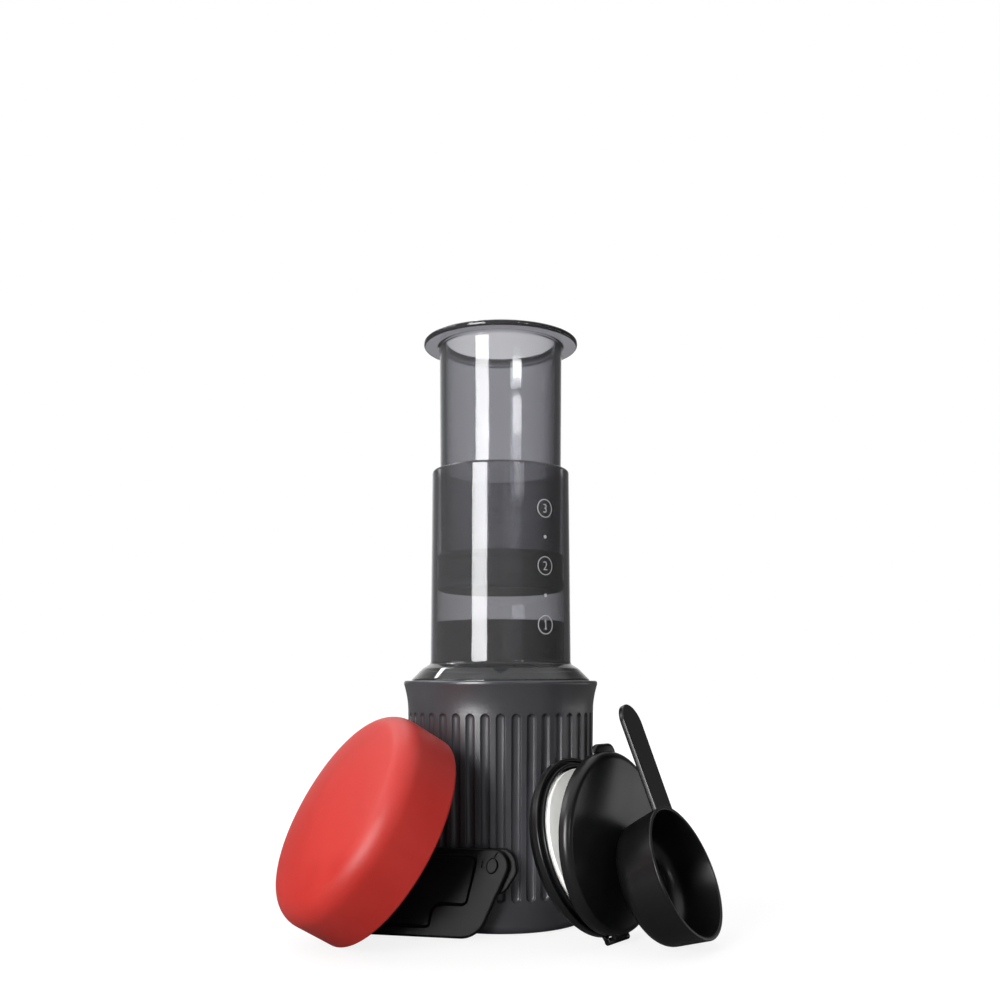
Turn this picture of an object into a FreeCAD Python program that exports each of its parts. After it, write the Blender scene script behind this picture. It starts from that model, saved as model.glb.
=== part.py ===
import FreeCAD, Part
import math
import os
import re

import Sketcher

# A travel coffee press set out on a table: the press stands in its fluted mug with
# the plunger raised, and the silicone lid, the folding stirrer, the filter case and
# the scoop lean beside it. Millimetres, Z up, origin at the middle of the mug's base.

# Driving dimensions
sizes = {
    # mug
    "mug_height": 106.5,
    "mug_low_radius": 41.5,
    "mug_base_round": 3.0,
    "mug_neck_radius": 43.6,
    "mug_neck_height": 93.5,
    "mug_rim_radius": 45.7,
    "mug_rim_band": 3.4,
    "mug_lip_round": 1.2,
    "mug_wall": 2.6,
    "mug_floor": 3.2,
    "mug_inner_round": 5.0,
    "mug_ledge_depth": 2.6,
    "flute_count": 40,
    "flute_width": 4.0,
    "flute_depth": 1.1,
    "flute_bottom": 13.0,
    "flute_top": 92.2,
    # chamber
    "chamber_radius": 33.35,
    "chamber_wall": 2.65,
    "chamber_rise": 103.0,
    "chamber_drop": 20.2,
    "chamber_lip_round": 1.2,
    "chamber_mouth_bevel": 1.1,
    "flange_radius": 42.2,
    "flange_edge": 2.8,
    "shoulder_radius": 37.0,
    "shoulder_height": 8.0,
    "shoulder_crest": 10.2,
    "flange_skin": 2.4,
    "lug_count": 4,
    "lug_reach": 35.2,
    "lug_width": 14.0,
    "lug_lift": 3.0,
    "lug_height": 2.4,
    # filter cap
    "cap_wall": 2.5,
    "cap_plate": 2.2,
    "cap_height": 10.4,
    "cap_edge_round": 1.0,
    "cap_hook_reach": 33.9,
    "cap_hook_height": 2.0,
    "cap_grip_count": 20,
    "cap_grip_radius": 1.1,
    "drain_radius": 1.7,
    "drain_pitch": 6.4,
    # plunger
    "plunger_radius": 30.4,
    "plunger_end_radius": 28.9,
    "plunger_length": 104.0,
    "plunger_bore_radius": 27.3,
    "plunger_end_bore": 25.5,
    "plunger_lift": 63.0,
    "grip_radius": 38.15,
    "grip_thickness": 2.6,
    "grip_round": 1.0,
    "grip_fillet": 1.0,
    "spigot_radius": 27.5,
    "spigot_length": 13.8,
    "seal_height": 17.6,
    "seal_fit": 0.08,
    "seal_waist": 0.7,
    "seal_lip": 4.0,
    "seal_corner": 2.2,
    # papers
    "paper_radius": 31.8,
    "paper_thickness": 0.4,
    "stack_height": 6.2,
    # lid
    "lid_radius": 46.6,
    "lid_wall": 1.8,
    "lid_skirt": 27.0,
    "lid_corner": 9.5,
    "lid_crown": 8.0,
    "lid_bead": 0.7,
    # filter case
    "case_radius": 37.0,
    "case_rim": 1.5,
    "case_step": 1.6,
    "case_ring_radius": 34.4,
    "case_ring_wall": 1.5,
    "case_ring_rise": 1.2,
    "tray_depth": 6.4,
    "tray_floor": 1.8,
    "tray_side": 3.0,
    "cover_depth": 5.2,
    "cover_skin": 1.6,
    "cover_round": 1.8,
    "tab_width": 16.0,
    "tab_reach": 3.4,
    "tab_thickness": 2.6,
    "tab_round": 2.0,
    "hinge_out": 1.6,
    "hinge_radius": 1.3,
    "hinge_pin_radius": 0.75,
    "hinge_pin_fit": 0.08,
    "hinge_pin_length": 2.2,
    "knuckle_half": 4.5,
    "knuckle_gap": 0.4,
    "ear_width": 3.0,
    # scoop
    "scoop_radius": 27.4,
    "scoop_floor_radius": 24.4,
    "scoop_depth": 22.0,
    "scoop_wall": 1.6,
    "scoop_round": 9.0,
    "handle_width": 18.0,
    "handle_tip_radius": 10.0,
    "handle_reach": 62.5,
    "handle_thickness": 2.4,
    # stirrer
    "leaf_thickness": 2.8,
    "leaf_gap": 0.3,
    "leaf_head": 6.8,
    "paddle_width": 36.2,
    "paddle_length": 66.0,
    "paddle_round": 12.0,
    "paddle_web": 1.2,
    "paddle_border": 4.6,
    "pad_height": 11.6,
    "handle_leaf_width": 19.0,
    "handle_leaf_length": 68.0,
    "pivot_radius": 2.4,
    "pivot_fit": 0.06,
    "pivot_head_radius": 3.4,
    "pivot_head_height": 0.8,
    "knuckle_offset": 2.6,
    # clearances
    "seat_gap": 0.3,
    "slip_gap": 0.4,
    "touch_gap": 0.05,
    # how the loose pieces lean, in degrees: azimuth from the front towards +X, and lean back
    "lid_azimuth": -62.0,
    "lid_lean": 30.0,
    "lid_side": -47.9,
    "case_azimuth": 52.5,
    "case_lean": 17.5,
    "case_side": 38.8,
    "case_opening": 12.0,
    "scoop_azimuth": 59.2,
    "scoop_lean": 23.0,
    "scoop_roll": -5.3,
    "scoop_side": 75.6,
    "stirrer_azimuth": -12.0,
    "stirrer_lean": 4.6,
    "stirrer_side": 6.8,
}

doc = FreeCAD.newDocument("travel_coffee_press")
sheet = doc.addObject("Spreadsheet::Sheet", "Sizes")
for row, (alias, value) in enumerate(sizes.items(), start=1):
    sheet.set(f"A{row}", alias)
    sheet.set(f"B{row}", str(value))
    sheet.setAlias(f"B{row}", alias)
scratch = doc.addObject("Spreadsheet::Sheet", "Scratch")
doc.recompute()

Vec = FreeCAD.Vector


def size(alias):
    return float(sheet.get(alias))


def bound(expression):
    """The same expression with every alias read from the sheet."""
    return re.sub(r"[a-z]+(?:_[a-z]+)+", lambda word: "Sizes." + word.group(0), expression)


def value_of(expression):
    """What a sheet expression comes to now, used to start a sketch near its solution."""
    scratch.set("A1", "=" + bound(expression))
    scratch.recompute()
    return float(scratch.get("A1"))


# Sketch helpers
def origin_feature(body, role):
    return next(item for item in body.Origin.OriginFeatures if item.Role == role)


def new_body(name):
    body = doc.addObject("PartDesign::Body", name)
    body.Label = name
    doc.recompute()
    return body


def new_sketch(body, name, plane="XZ_Plane", lift="0", tilt="0"):
    """A sketch on one of the body's own planes, lifted off it and tilted about its X axis."""
    sketch = body.newObject("Sketcher::SketchObject", name)
    sketch.AttachmentSupport = [(origin_feature(body, plane), "")]
    sketch.MapMode = "FlatFace"
    if lift != "0":
        sketch.setExpression("AttachmentOffset.Base.z", bound(lift))
    if tilt != "0":
        sketch.AttachmentOffset = FreeCAD.Placement(Vec(0, 0, 0), FreeCAD.Rotation(Vec(1, 0, 0), 1))
        sketch.setExpression("AttachmentOffset.Rotation.Angle", bound(tilt))
    return sketch


def pin_point(sketch, geometry, end, name, across, up):
    """Hold one end of a line or arc at named coordinates."""
    point = sketch.getPoint(geometry, end)
    for kind, label, expression, start in (
        ("DistanceX", "x", across, point.x),
        ("DistanceY", "y", up, point.y),
    ):
        index = sketch.addConstraint(Sketcher.Constraint(kind, -1, 1, geometry, end, start))
        sketch.renameConstraint(index, label + name)
        sketch.setExpression("Constraints." + label + name, bound(expression))


def outline(sketch, corners, prefix="p"):
    """A closed outline. A corner is (x, y), or (x, y, radius) where a counter-clockwise
    arc of that radius leads up to it, or (x, y, radius, "cw") for a clockwise one."""
    spots = [Vec(value_of(corner[0]), value_of(corner[1]), 0) for corner in corners]
    ends = []
    for index, corner in enumerate(corners):
        start = spots[index - 1]
        stop = spots[index]
        if len(corner) == 2:
            added = sketch.addGeometry(Part.LineSegment(start, stop), False)
            ends.append((added, 1, 2))
            continue
        radius = value_of(corner[2])
        clockwise = len(corner) == 4
        middle = (start + stop) * 0.5
        chord = stop - start
        height = math.sqrt(max(radius**2 - (chord.Length / 2) ** 2, 0))
        side = Vec(-chord.y, chord.x, 0).normalize() * height
        centre = middle - side if clockwise else middle + side
        first, last = (stop, start) if clockwise else (start, stop)
        angles = [math.atan2(spot.y - centre.y, spot.x - centre.x) for spot in (first, last)]
        circle = Part.Circle(centre, Vec(0, 0, 1), radius)
        added = sketch.addGeometry(Part.ArcOfCircle(circle, angles[0], angles[1]), False)
        ends.append((added, 2, 1) if clockwise else (added, 1, 2))
        named = sketch.addConstraint(Sketcher.Constraint("Radius", added, radius))
        sketch.renameConstraint(named, f"{prefix}r{index}")
        sketch.setExpression(f"Constraints.{prefix}r{index}", bound(corner[2]))
    for index, corner in enumerate(corners):
        geometry, _, stop_end = ends[index]
        following, start_end, _ = ends[(index + 1) % len(ends)]
        joined = Sketcher.Constraint("Coincident", geometry, stop_end, following, start_end)
        sketch.addConstraint(joined)
        pin_point(sketch, geometry, stop_end, f"{prefix}{index}", corner[0], corner[1])


def bend(across, up, radius, start, stop, steps):
    """Corners along a rounded edge, as a few flat facets, so that the meshes stay light."""
    turns = [start + (stop - start) * step / steps for step in range(steps + 1)]
    return [
        (f"{across} + ({radius}) * cos({turn})", f"{up} + ({radius}) * sin({turn})")
        for turn in turns
    ]


def polygon(sketch, across, up, radius, sides, prefix):
    """A regular outline round a centre."""
    turns = [360 * side / sides for side in range(sides)]
    outline(sketch, [
        (f"{across} + ({radius}) * cos({turn})", f"{up} + ({radius}) * sin({turn})")
        for turn in turns
    ], prefix)


def ring_of_circle(sketch, across, up, radius, name):
    spot = Vec(value_of(across), value_of(up), 0)
    added = sketch.addGeometry(Part.Circle(spot, Vec(0, 0, 1), value_of(radius)), False)
    pin_point(sketch, added, 3, name, across, up)
    index = sketch.addConstraint(Sketcher.Constraint("Radius", added, value_of(radius)))
    sketch.renameConstraint(index, "r" + name)
    sketch.setExpression("Constraints.r" + name, bound(radius))


# Feature helpers
def revolve(body, name, corners):
    sketch = new_sketch(body, name + "_profile")
    outline(sketch, corners)
    solved(sketch)
    turned = body.newObject("PartDesign::Revolution", name)
    turned.Profile = sketch
    turned.ReferenceAxis = (sketch, ["V_Axis"])
    turned.Angle = 360
    doc.recompute()
    return turned


def solved(sketch):
    """Stop at the first sketch that does not solve."""
    doc.recompute()
    if "Invalid" in sketch.State:
        raise RuntimeError(f"{sketch.Name} does not solve")


def extrude(body, name, sketch, length, kind="PartDesign::Pad", reverse=False):
    """Pad or pocket a sketch. A pocket that removes nothing is an error."""
    solved(sketch)
    before = body.Shape.Volume if body.Shape and not body.Shape.isNull() else 0
    feature = body.newObject(kind, name)
    feature.Profile = sketch
    feature.setExpression("Length", bound(length))
    feature.Reversed = reverse
    doc.recompute()
    change = body.Shape.Volume - before
    if (kind == "PartDesign::Pocket") == (change > 0) or abs(change) < 1e-3:
        raise RuntimeError(f"{name} points the wrong way: {change:.3f} mm3")
    return feature


def repeat_other_side(body, features, name):
    """Mirror features to the other side of the body's YZ plane."""
    mirrored = body.newObject("PartDesign::Mirrored", name)
    mirrored.Originals = [doc.getObject(feature) for feature in features]
    mirrored.MirrorPlane = (origin_feature(body, "YZ_Plane"), [""])
    body.Tip = mirrored
    doc.recompute()
    return mirrored


def repeat_round(body, feature, count, name):
    pattern = body.newObject("PartDesign::PolarPattern", name)
    pattern.Originals = [feature]
    pattern.Axis = (origin_feature(body, "Z_Axis"), [""])
    pattern.Angle = 360
    pattern.setExpression("Occurrences", bound(count))
    body.Tip = pattern
    doc.recompute()
    return pattern


# Mug: a tapering fluted cup whose lip flares out, with a ledge for the chamber's flange
mug = new_body("mug")
flare = "mug_rim_radius - mug_neck_radius"
flare_rise = "mug_height - mug_rim_band - mug_lip_round - mug_neck_height"
revolve(mug, "mug_wall_turned", [
    ("0", "0"),
    *bend("mug_low_radius - mug_base_round", "mug_base_round", "mug_base_round", -90, 0, 2),
    ("mug_neck_radius", "mug_neck_height"),
    (f"mug_neck_radius + ({flare}) * 0.25", f"mug_neck_height + ({flare_rise}) / 2"),
    ("mug_rim_radius", "mug_height - mug_rim_band - mug_lip_round"),
    ("mug_rim_radius", "mug_height - mug_lip_round"),
    ("mug_rim_radius - mug_lip_round", "mug_height"),
    ("flange_radius + slip_gap", "mug_height"),
    ("flange_radius + slip_gap", "mug_height - mug_ledge_depth"),
    ("mug_neck_radius - mug_wall", "mug_height - mug_ledge_depth"),
    ("mug_neck_radius - mug_wall", "mug_neck_height"),
    *bend("mug_low_radius - mug_wall - mug_inner_round", "mug_floor + mug_inner_round",
          "mug_inner_round", 0, -90, 1),
    ("0", "mug_floor"),
])
wall_slope = "(mug_neck_radius - mug_low_radius) / (mug_neck_height - mug_base_round)"
flute_floor = f"mug_low_radius - flute_depth - mug_base_round * {wall_slope}"
flute = new_sketch(mug, "flute_outline", "XZ_Plane", flute_floor, f"atan({wall_slope})")
outline(flute, [
    *bend("0", "flute_bottom + flute_width / 2", "flute_width / 2", -180, 0, 3),
    *bend("0", "flute_top - flute_width / 2", "flute_width / 2", 0, 180, 3),
])
flute_cut = extrude(mug, "flute_cut", flute, "flute_depth * 4", "PartDesign::Pocket", True)
repeat_round(mug, flute_cut, "flute_count", "flutes")

# Chamber: the clear brewing tube with its shouldered flange and bayonet lugs
chamber = new_body("chamber")
chamber_bore = "chamber_radius - chamber_wall"
revolve(chamber, "chamber_turned", [
    (chamber_bore, "-chamber_drop"),
    ("chamber_radius", "-chamber_drop"),
    ("chamber_radius", "shoulder_height - flange_skin"),
    ("shoulder_radius - flange_skin / 2", "shoulder_height - flange_skin"),
    ("flange_radius - flange_skin - 0.4", "flange_edge"),
    ("flange_radius - flange_skin - 0.4", "0"),
    ("flange_radius", "0"),
    ("flange_radius", "flange_edge"),
    ("shoulder_radius", "shoulder_height"),
    ("chamber_radius", "shoulder_crest"),
    ("chamber_radius", "chamber_rise - chamber_lip_round"),
    ("chamber_radius - chamber_lip_round", "chamber_rise"),
    (chamber_bore + " + chamber_mouth_bevel", "chamber_rise"),
    (chamber_bore, "chamber_rise - chamber_mouth_bevel"),
])
lug = new_sketch(chamber, "lug_outline", "XY_Plane", "lug_lift - chamber_drop")
outline(lug, [
    ("chamber_radius - chamber_wall / 2", "-lug_width / 2"),
    ("lug_reach", "-lug_width / 2"),
    ("lug_reach", "lug_width / 2"),
    ("chamber_radius - chamber_wall / 2", "lug_width / 2"),
])
lug_pad = extrude(chamber, "lug", lug, "lug_height")
repeat_round(chamber, lug_pad, "lug_count", "lugs")

# Plunger tube: slightly tapering, open at the top, with a wide grip ring and a stepped end
plunger = new_body("plunger_tube")
revolve(plunger, "plunger_turned", [
    ("plunger_end_bore", "-plunger_length - spigot_length"),
    ("spigot_radius", "-plunger_length - spigot_length"),
    ("spigot_radius", "-plunger_length"),
    ("plunger_end_radius", "-plunger_length"),
    ("plunger_radius", "-grip_fillet"),
    ("plunger_radius + grip_fillet", "0"),
    ("grip_radius - grip_round", "0"),
    ("grip_radius", "grip_round"),
    ("grip_radius", "grip_thickness - grip_round"),
    ("grip_radius - grip_round", "grip_thickness"),
    ("plunger_bore_radius", "grip_thickness"),
])

# Plunger seal: a rubber cup on the plunger's end, with a wiping lip above and below a waist
seal = new_body("plunger_seal")
seal_radius = "chamber_radius - chamber_wall - seal_fit"
revolve(seal, "seal_turned", [
    ("0", "-seal_height"),
    (seal_radius + " - seal_corner", "-seal_height"),
    (seal_radius, "seal_corner - seal_height"),
    (seal_radius, "seal_corner + seal_lip / 2 - seal_height"),
    (seal_radius + " - seal_waist", "seal_corner + seal_lip - seal_height"),
    (seal_radius + " - seal_waist", "-seal_lip"),
    (seal_radius, "-seal_lip / 2"),
    ("plunger_end_radius + seal_waist", "0"),
    ("spigot_radius + touch_gap", "0"),
    ("spigot_radius + touch_gap", "-spigot_length - touch_gap"),
    ("0", "-spigot_length - touch_gap"),
])

# Filter cap: a shallow drained cup that twists onto the chamber's lugs
cap = new_body("filter_cap")
cap_bore = "lug_reach + 1.4"
cap_outer = cap_bore + " + cap_wall"
revolve(cap, "cap_turned", [
    ("0", "-cap_plate"),
    (cap_outer + " - cap_edge_round", "-cap_plate"),
    (cap_outer, "cap_edge_round - cap_plate"),
    (cap_outer, "cap_height"),
    (cap_bore, "cap_height"),
    (cap_bore, "0"),
    ("0", "0"),
])
hook_lift = "paper_thickness + seat_gap * 2 + lug_lift + lug_height"
hook = new_sketch(cap, "hook_outline", "XY_Plane", hook_lift)
outline(hook, [
    ("cap_hook_reach", "-lug_width / 2"),
    (cap_bore + " + cap_wall / 2", "-lug_width / 2"),
    (cap_bore + " + cap_wall / 2", "lug_width / 2"),
    ("cap_hook_reach", "lug_width / 2"),
])
hook_pad = extrude(cap, "hook", hook, "cap_hook_height")
repeat_round(cap, hook_pad, "lug_count", "hooks")
grip = new_sketch(cap, "grip_outline", "XY_Plane", "-cap_plate + cap_edge_round")
outline(grip, [
    (cap_outer + " - cap_wall / 2", "-cap_grip_radius"),
    (cap_outer + " + cap_grip_radius / 2", "-cap_grip_radius / 2"),
    (cap_outer + " + cap_grip_radius / 2", "cap_grip_radius / 2"),
    (cap_outer + " - cap_wall / 2", "cap_grip_radius"),
])
grip_pad = extrude(cap, "grip_rib", grip, "cap_height + cap_plate - cap_edge_round * 2")
repeat_round(cap, grip_pad, "cap_grip_count", "grip_ribs")
centre_drain = new_sketch(cap, "centre_drain_outline", "XY_Plane")
polygon(centre_drain, "0", "0", "drain_radius", 6, "centre")
extrude(cap, "centre_drain", centre_drain, "cap_plate + 1", "PartDesign::Pocket")
DRAIN_RINGS = 4
sector = new_sketch(cap, "drain_outline", "XY_Plane")
for ring in range(1, DRAIN_RINGS + 1):
    for step in range(ring):
        polygon(
            sector,
            f"drain_pitch * ({ring} - {step} / 2)",
            f"drain_pitch * {step} * cos(30)",
            "drain_radius",
            6,
            f"ring{ring}step{step}corner",
        )
sector_cut = extrude(cap, "drain_sector", sector, "cap_plate + 1", "PartDesign::Pocket")
repeat_round(cap, sector_cut, "6", "drains")

# Filter papers: one in the cap, and the spare stack in the case
cap_paper = new_body("cap_paper")
revolve(cap_paper, "cap_paper_turned", [
    ("0", "0"),
    ("paper_radius", "0"),
    ("paper_radius", "paper_thickness"),
    ("0", "paper_thickness"),
])
stack = new_body("paper_stack")
revolve(stack, "stack_turned", [
    ("0", "0"),
    ("paper_radius", "0"),
    ("paper_radius", "stack_height"),
    ("0", "stack_height"),
])
top_paper = new_body("top_paper")
revolve(top_paper, "top_paper_turned", [
    ("0", "0"),
    ("paper_radius", "0"),
    ("paper_radius", "paper_thickness"),
    ("0", "paper_thickness"),
])

# Lid: a deep domed silicone cap, thin walled, with a bead that grips the mug's rim
lid = new_body("lid")
dome_base = "lid_radius - lid_corner"
dome_radius = f"(({dome_base}) ^ 2 + lid_crown ^ 2) / (2 * lid_crown)"
revolve(lid, "lid_turned", [
    ("lid_radius - lid_wall - lid_bead", "0"),
    ("lid_radius", "0"),
    *bend("lid_radius - lid_corner", "lid_skirt - lid_corner", "lid_corner", 0, 75, 4),
    *bend("0", "lid_skirt + lid_crown - (%s)" % dome_radius, dome_radius, 67, 90, 2)[1:],
    ("0", "lid_skirt + lid_crown - lid_wall"),
    *bend("0", "lid_skirt + lid_crown - (%s)" % dome_radius, "%s - lid_wall" % dome_radius, 90, 67, 2)[1:-1],
    *bend("lid_radius - lid_corner", "lid_skirt - lid_corner", "lid_corner - lid_wall", 75, 0, 3),
    ("lid_radius - lid_wall", "lid_bead * 6"),
    ("lid_radius - lid_wall - lid_bead", "lid_bead * 3"),
])

# Filter case tray: a shallow dish with a stepped double rim
tray = new_body("case_tray")
revolve(tray, "tray_turned", [
    ("0", "-tray_depth"),
    ("case_ring_radius", "-tray_depth"),
    ("case_radius", "-tray_side"),
    ("case_radius", "0"),
    ("case_radius - case_rim", "0"),
    ("case_radius - case_rim", "-case_step"),
    ("case_ring_radius", "-case_step"),
    ("case_ring_radius", "case_ring_rise"),
    ("case_ring_radius - case_ring_wall", "case_ring_rise"),
    ("case_ring_radius - case_ring_wall", "tray_floor - tray_depth"),
    ("0", "tray_floor - tray_depth"),
])

hinge_across = "-(case_radius + hinge_out)"
tray_hinge_rise = "seat_gap / 2"
knuckle_end = "knuckle_half + knuckle_gap"
ear_web = new_sketch(tray, "ear_web_outline", "YZ_Plane", knuckle_end)
outline(ear_web, [
    ("-case_radius + case_rim", "-hinge_radius * 1.6"),
    ("-case_radius + case_rim", "-seat_gap"),
    (hinge_across, "-seat_gap"),
    (hinge_across + " - hinge_radius / 2", "-hinge_radius / 2"),
])
extrude(tray, "ear_web", ear_web, "ear_width")
ear = new_sketch(tray, "ear_outline", "YZ_Plane", knuckle_end)
ring_of_circle(ear, hinge_across, tray_hinge_rise, "hinge_radius", "ear")
extrude(tray, "ear", ear, "ear_width")
ear_hole = new_sketch(tray, "ear_hole_outline", "YZ_Plane", knuckle_end)
ring_of_circle(ear_hole, hinge_across, tray_hinge_rise, "hinge_pin_radius + hinge_pin_fit", "ear_hole")
extrude(tray, "ear_hole", ear_hole, "hinge_pin_length + knuckle_gap", "PartDesign::Pocket", True)
repeat_other_side(tray, ["ear_web", "ear", "ear_hole"], "other_ear")

# Filter case cover: a plain dish with a press tab at the top and a hinge knuckle at the foot
cover = new_body("case_cover")
revolve(cover, "cover_turned", [
    ("0", "cover_depth - cover_skin"),
    ("case_radius - case_rim", "cover_depth - cover_skin"),
    ("case_radius - case_rim", "0"),
    ("case_radius", "0"),
    ("case_radius", "cover_depth - cover_round"),
    ("case_radius - cover_round", "cover_depth"),
    ("0", "cover_depth"),
])
tab = new_sketch(cover, "tab_outline", "XY_Plane")
outline(tab, [
    ("-tab_width / 2", "case_radius - cover_round"),
    ("tab_width / 2", "case_radius - cover_round"),
    ("tab_width / 2", "case_radius + tab_reach - tab_round"),
    ("tab_width / 2 - tab_round", "case_radius + tab_reach"),
    ("tab_round - tab_width / 2", "case_radius + tab_reach"),
    ("-tab_width / 2", "case_radius + tab_reach - tab_round"),
])
extrude(cover, "tab", tab, "tab_thickness")
cover_hinge_drop = "-seat_gap / 2"
knuckle_web = new_sketch(cover, "knuckle_web_outline", "YZ_Plane", "-knuckle_half")
outline(knuckle_web, [
    ("-case_radius + case_rim / 2", "0"),
    ("-case_radius + case_rim / 2", "hinge_radius * 2.4"),
    (hinge_across, "hinge_radius"),
    (hinge_across, "0"),
])
extrude(cover, "knuckle_web", knuckle_web, "knuckle_half * 2")
knuckle = new_sketch(cover, "knuckle_outline", "YZ_Plane", "-knuckle_half")
ring_of_circle(knuckle, hinge_across, cover_hinge_drop, "hinge_radius", "knuckle")
extrude(cover, "knuckle", knuckle, "knuckle_half * 2")
stub = new_sketch(cover, "stub_outline", "YZ_Plane", "-knuckle_half - hinge_pin_length")
ring_of_circle(stub, hinge_across, cover_hinge_drop, "hinge_pin_radius", "stub")
extrude(cover, "stub", stub, "(knuckle_half + hinge_pin_length) * 2")

# Scoop: a round bowl with a flat paddle-ended handle on its rim
scoop = new_body("scoop")
revolve(scoop, "scoop_turned", [
    ("0", "-scoop_depth"),
    *bend("scoop_floor_radius - scoop_round", "scoop_round - scoop_depth", "scoop_round", -90, 0, 3),
    ("scoop_radius", "0"),
    ("scoop_radius - scoop_wall", "0"),
    *bend("scoop_floor_radius - scoop_round", "scoop_round - scoop_depth", "scoop_round - scoop_wall", 0, -90, 2),
    ("0", "scoop_wall - scoop_depth"),
])
handle = new_sketch(scoop, "handle_outline", "XY_Plane")
handle_root = "scoop_radius - scoop_wall / 2"
handle_root_rise = f"sqrt(({handle_root}) ^ 2 - (handle_width / 2) ^ 2)"
outline(handle, [
    ("handle_width / 2", handle_root_rise, handle_root, "cw"),
    ("handle_tip_radius", "handle_reach"),
    ("-handle_tip_radius", "handle_reach", "handle_tip_radius * 1.001"),
    ("-handle_width / 2", handle_root_rise),
])
extrude(scoop, "handle", handle, "handle_thickness", reverse=True)

# Stirrer: a wide paddle leaf in front of a handle leaf, turning on one pin.
# Each leaf's origin is the pin's axis at the paddle's back face; the leaves reach to -X.
paddle = new_body("stirrer_paddle")
paddle_foot = "leaf_head - paddle_width"
slant_foot = "paddle_round"
outline_paddle = [
    ("-leaf_head", "leaf_head"),
    ("paddle_round - paddle_length", "leaf_head"),
    ("-paddle_length", "leaf_head - paddle_round", "paddle_round"),
    ("-paddle_length", paddle_foot + " + paddle_round"),
    ("paddle_round - paddle_length", paddle_foot, "paddle_round"),
    ("-paddle_round - 2", paddle_foot),
    ("-leaf_head / 4", paddle_foot + " + paddle_round * 3 / 4", "paddle_round"),
    ("leaf_head", "-leaf_head / 4"),
    ("0", "leaf_head", "leaf_head * 1.02"),
]
paddle_face = new_sketch(paddle, "paddle_outline", "XY_Plane")
outline(paddle_face, outline_paddle)
extrude(paddle, "paddle_plate", paddle_face, "leaf_thickness")
web = new_sketch(paddle, "web_outline", "XY_Plane", "leaf_thickness")
outline(web, [
    ("-leaf_head * 2", "leaf_head - paddle_border"),
    ("paddle_round - paddle_length", "leaf_head - paddle_border"),
    ("paddle_border - paddle_length", "leaf_head - paddle_round", "paddle_round - paddle_border"),
    ("paddle_border - paddle_length", paddle_foot + " + paddle_round"),
    ("paddle_round - paddle_length", paddle_foot + " + paddle_border", "paddle_round - paddle_border"),
    ("-paddle_round * 2.4", paddle_foot + " + paddle_border"),
    ("-paddle_round * 2.4", paddle_foot + " + paddle_border + pad_height"),
    ("-leaf_head * 2", paddle_foot + " + paddle_border + pad_height"),
])
extrude(paddle, "paddle_web_cut", web, "paddle_web", "PartDesign::Pocket")
paddle_hole = new_sketch(paddle, "paddle_hole_outline", "XY_Plane")
ring_of_circle(paddle_hole, "0", "0", "pivot_radius + pivot_fit", "hole")
extrude(paddle, "paddle_hole", paddle_hole, "leaf_thickness * 2", "PartDesign::Pocket", True)

handle_leaf = new_body("stirrer_handle")
leaf_face = new_sketch(handle_leaf, "leaf_outline", "XY_Plane", "-leaf_gap - leaf_thickness")
outline(leaf_face, [
    ("0", "leaf_head"),
    ("handle_leaf_width / 2 - handle_leaf_length", "leaf_head"),
    ("handle_leaf_width / 2 - handle_leaf_length", "leaf_head - handle_leaf_width",
     "handle_leaf_width / 2 * 1.001"),
    ("0", "leaf_head - handle_leaf_width"),
    ("knuckle_offset + leaf_head", "-leaf_head / 4", "leaf_head * 2"),
    ("knuckle_offset", "leaf_head", "leaf_head * 1.2"),
])
extrude(handle_leaf, "leaf_plate", leaf_face, "leaf_thickness")
leaf_hole = new_sketch(handle_leaf, "leaf_hole_outline", "XY_Plane")
ring_of_circle(leaf_hole, "0", "0", "pivot_radius + touch_gap / 2", "hole")
extrude(handle_leaf, "leaf_hole", leaf_hole, "leaf_thickness * 2", "PartDesign::Pocket")

pin = new_body("stirrer_pin")
revolve(pin, "pin_turned", [
    ("0", "-leaf_gap - leaf_thickness"),
    ("pivot_radius", "-leaf_gap - leaf_thickness"),
    ("pivot_radius", "leaf_thickness + leaf_gap"),
    ("pivot_head_radius", "leaf_thickness + leaf_gap"),
    ("pivot_head_radius", "leaf_thickness + leaf_gap + pivot_head_height / 2"),
    ("pivot_head_radius - pivot_head_height / 2", "leaf_thickness + leaf_gap + pivot_head_height"),
    ("0", "leaf_thickness + leaf_gap + pivot_head_height"),
])

# Where the pieces of the press sit, one above another on the mug's axis
flange_seat = size("mug_height") - size("mug_ledge_depth") + size("seat_gap")
chamber_foot = flange_seat - size("chamber_drop")
paper_seat = chamber_foot - size("seat_gap") - size("paper_thickness")
cap_seat = paper_seat - size("touch_gap")
chamber_top = flange_seat + size("chamber_rise")
grip_seat = chamber_top + size("plunger_lift")


def raised(height):
    return FreeCAD.Placement(Vec(0, 0, height), FreeCAD.Rotation())


chamber.Placement = raised(flange_seat)
cap.Placement = raised(cap_seat)
cap_paper.Placement = raised(paper_seat)
plunger.Placement = raised(grip_seat)
seal.Placement = raised(grip_seat - size("plunger_length"))


# Where the loose pieces lean
def leaning(azimuth, lean, roll=0):
    """Local Z looks out at the azimuth and up by the lean; local X is level, local Y up the slope."""
    turn = math.radians(azimuth)
    rise = math.radians(lean)
    out = Vec(math.sin(turn) * math.cos(rise), -math.cos(turn) * math.cos(rise), math.sin(rise))
    level = Vec(math.cos(turn), math.sin(turn), 0)
    slope = out.cross(level)
    return FreeCAD.Rotation(level, slope, out, "ZXY").multiply(FreeCAD.Rotation(Vec(0, 0, 1), roll))


def bearing(azimuth):
    """The level direction from the mug's axis at an azimuth from the front towards +X."""
    turn = math.radians(azimuth)
    return Vec(math.sin(turn), -math.cos(turn), 0)


def lowest(shape):
    return shape.optimalBoundingBox(False, False).ZMin


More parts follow.
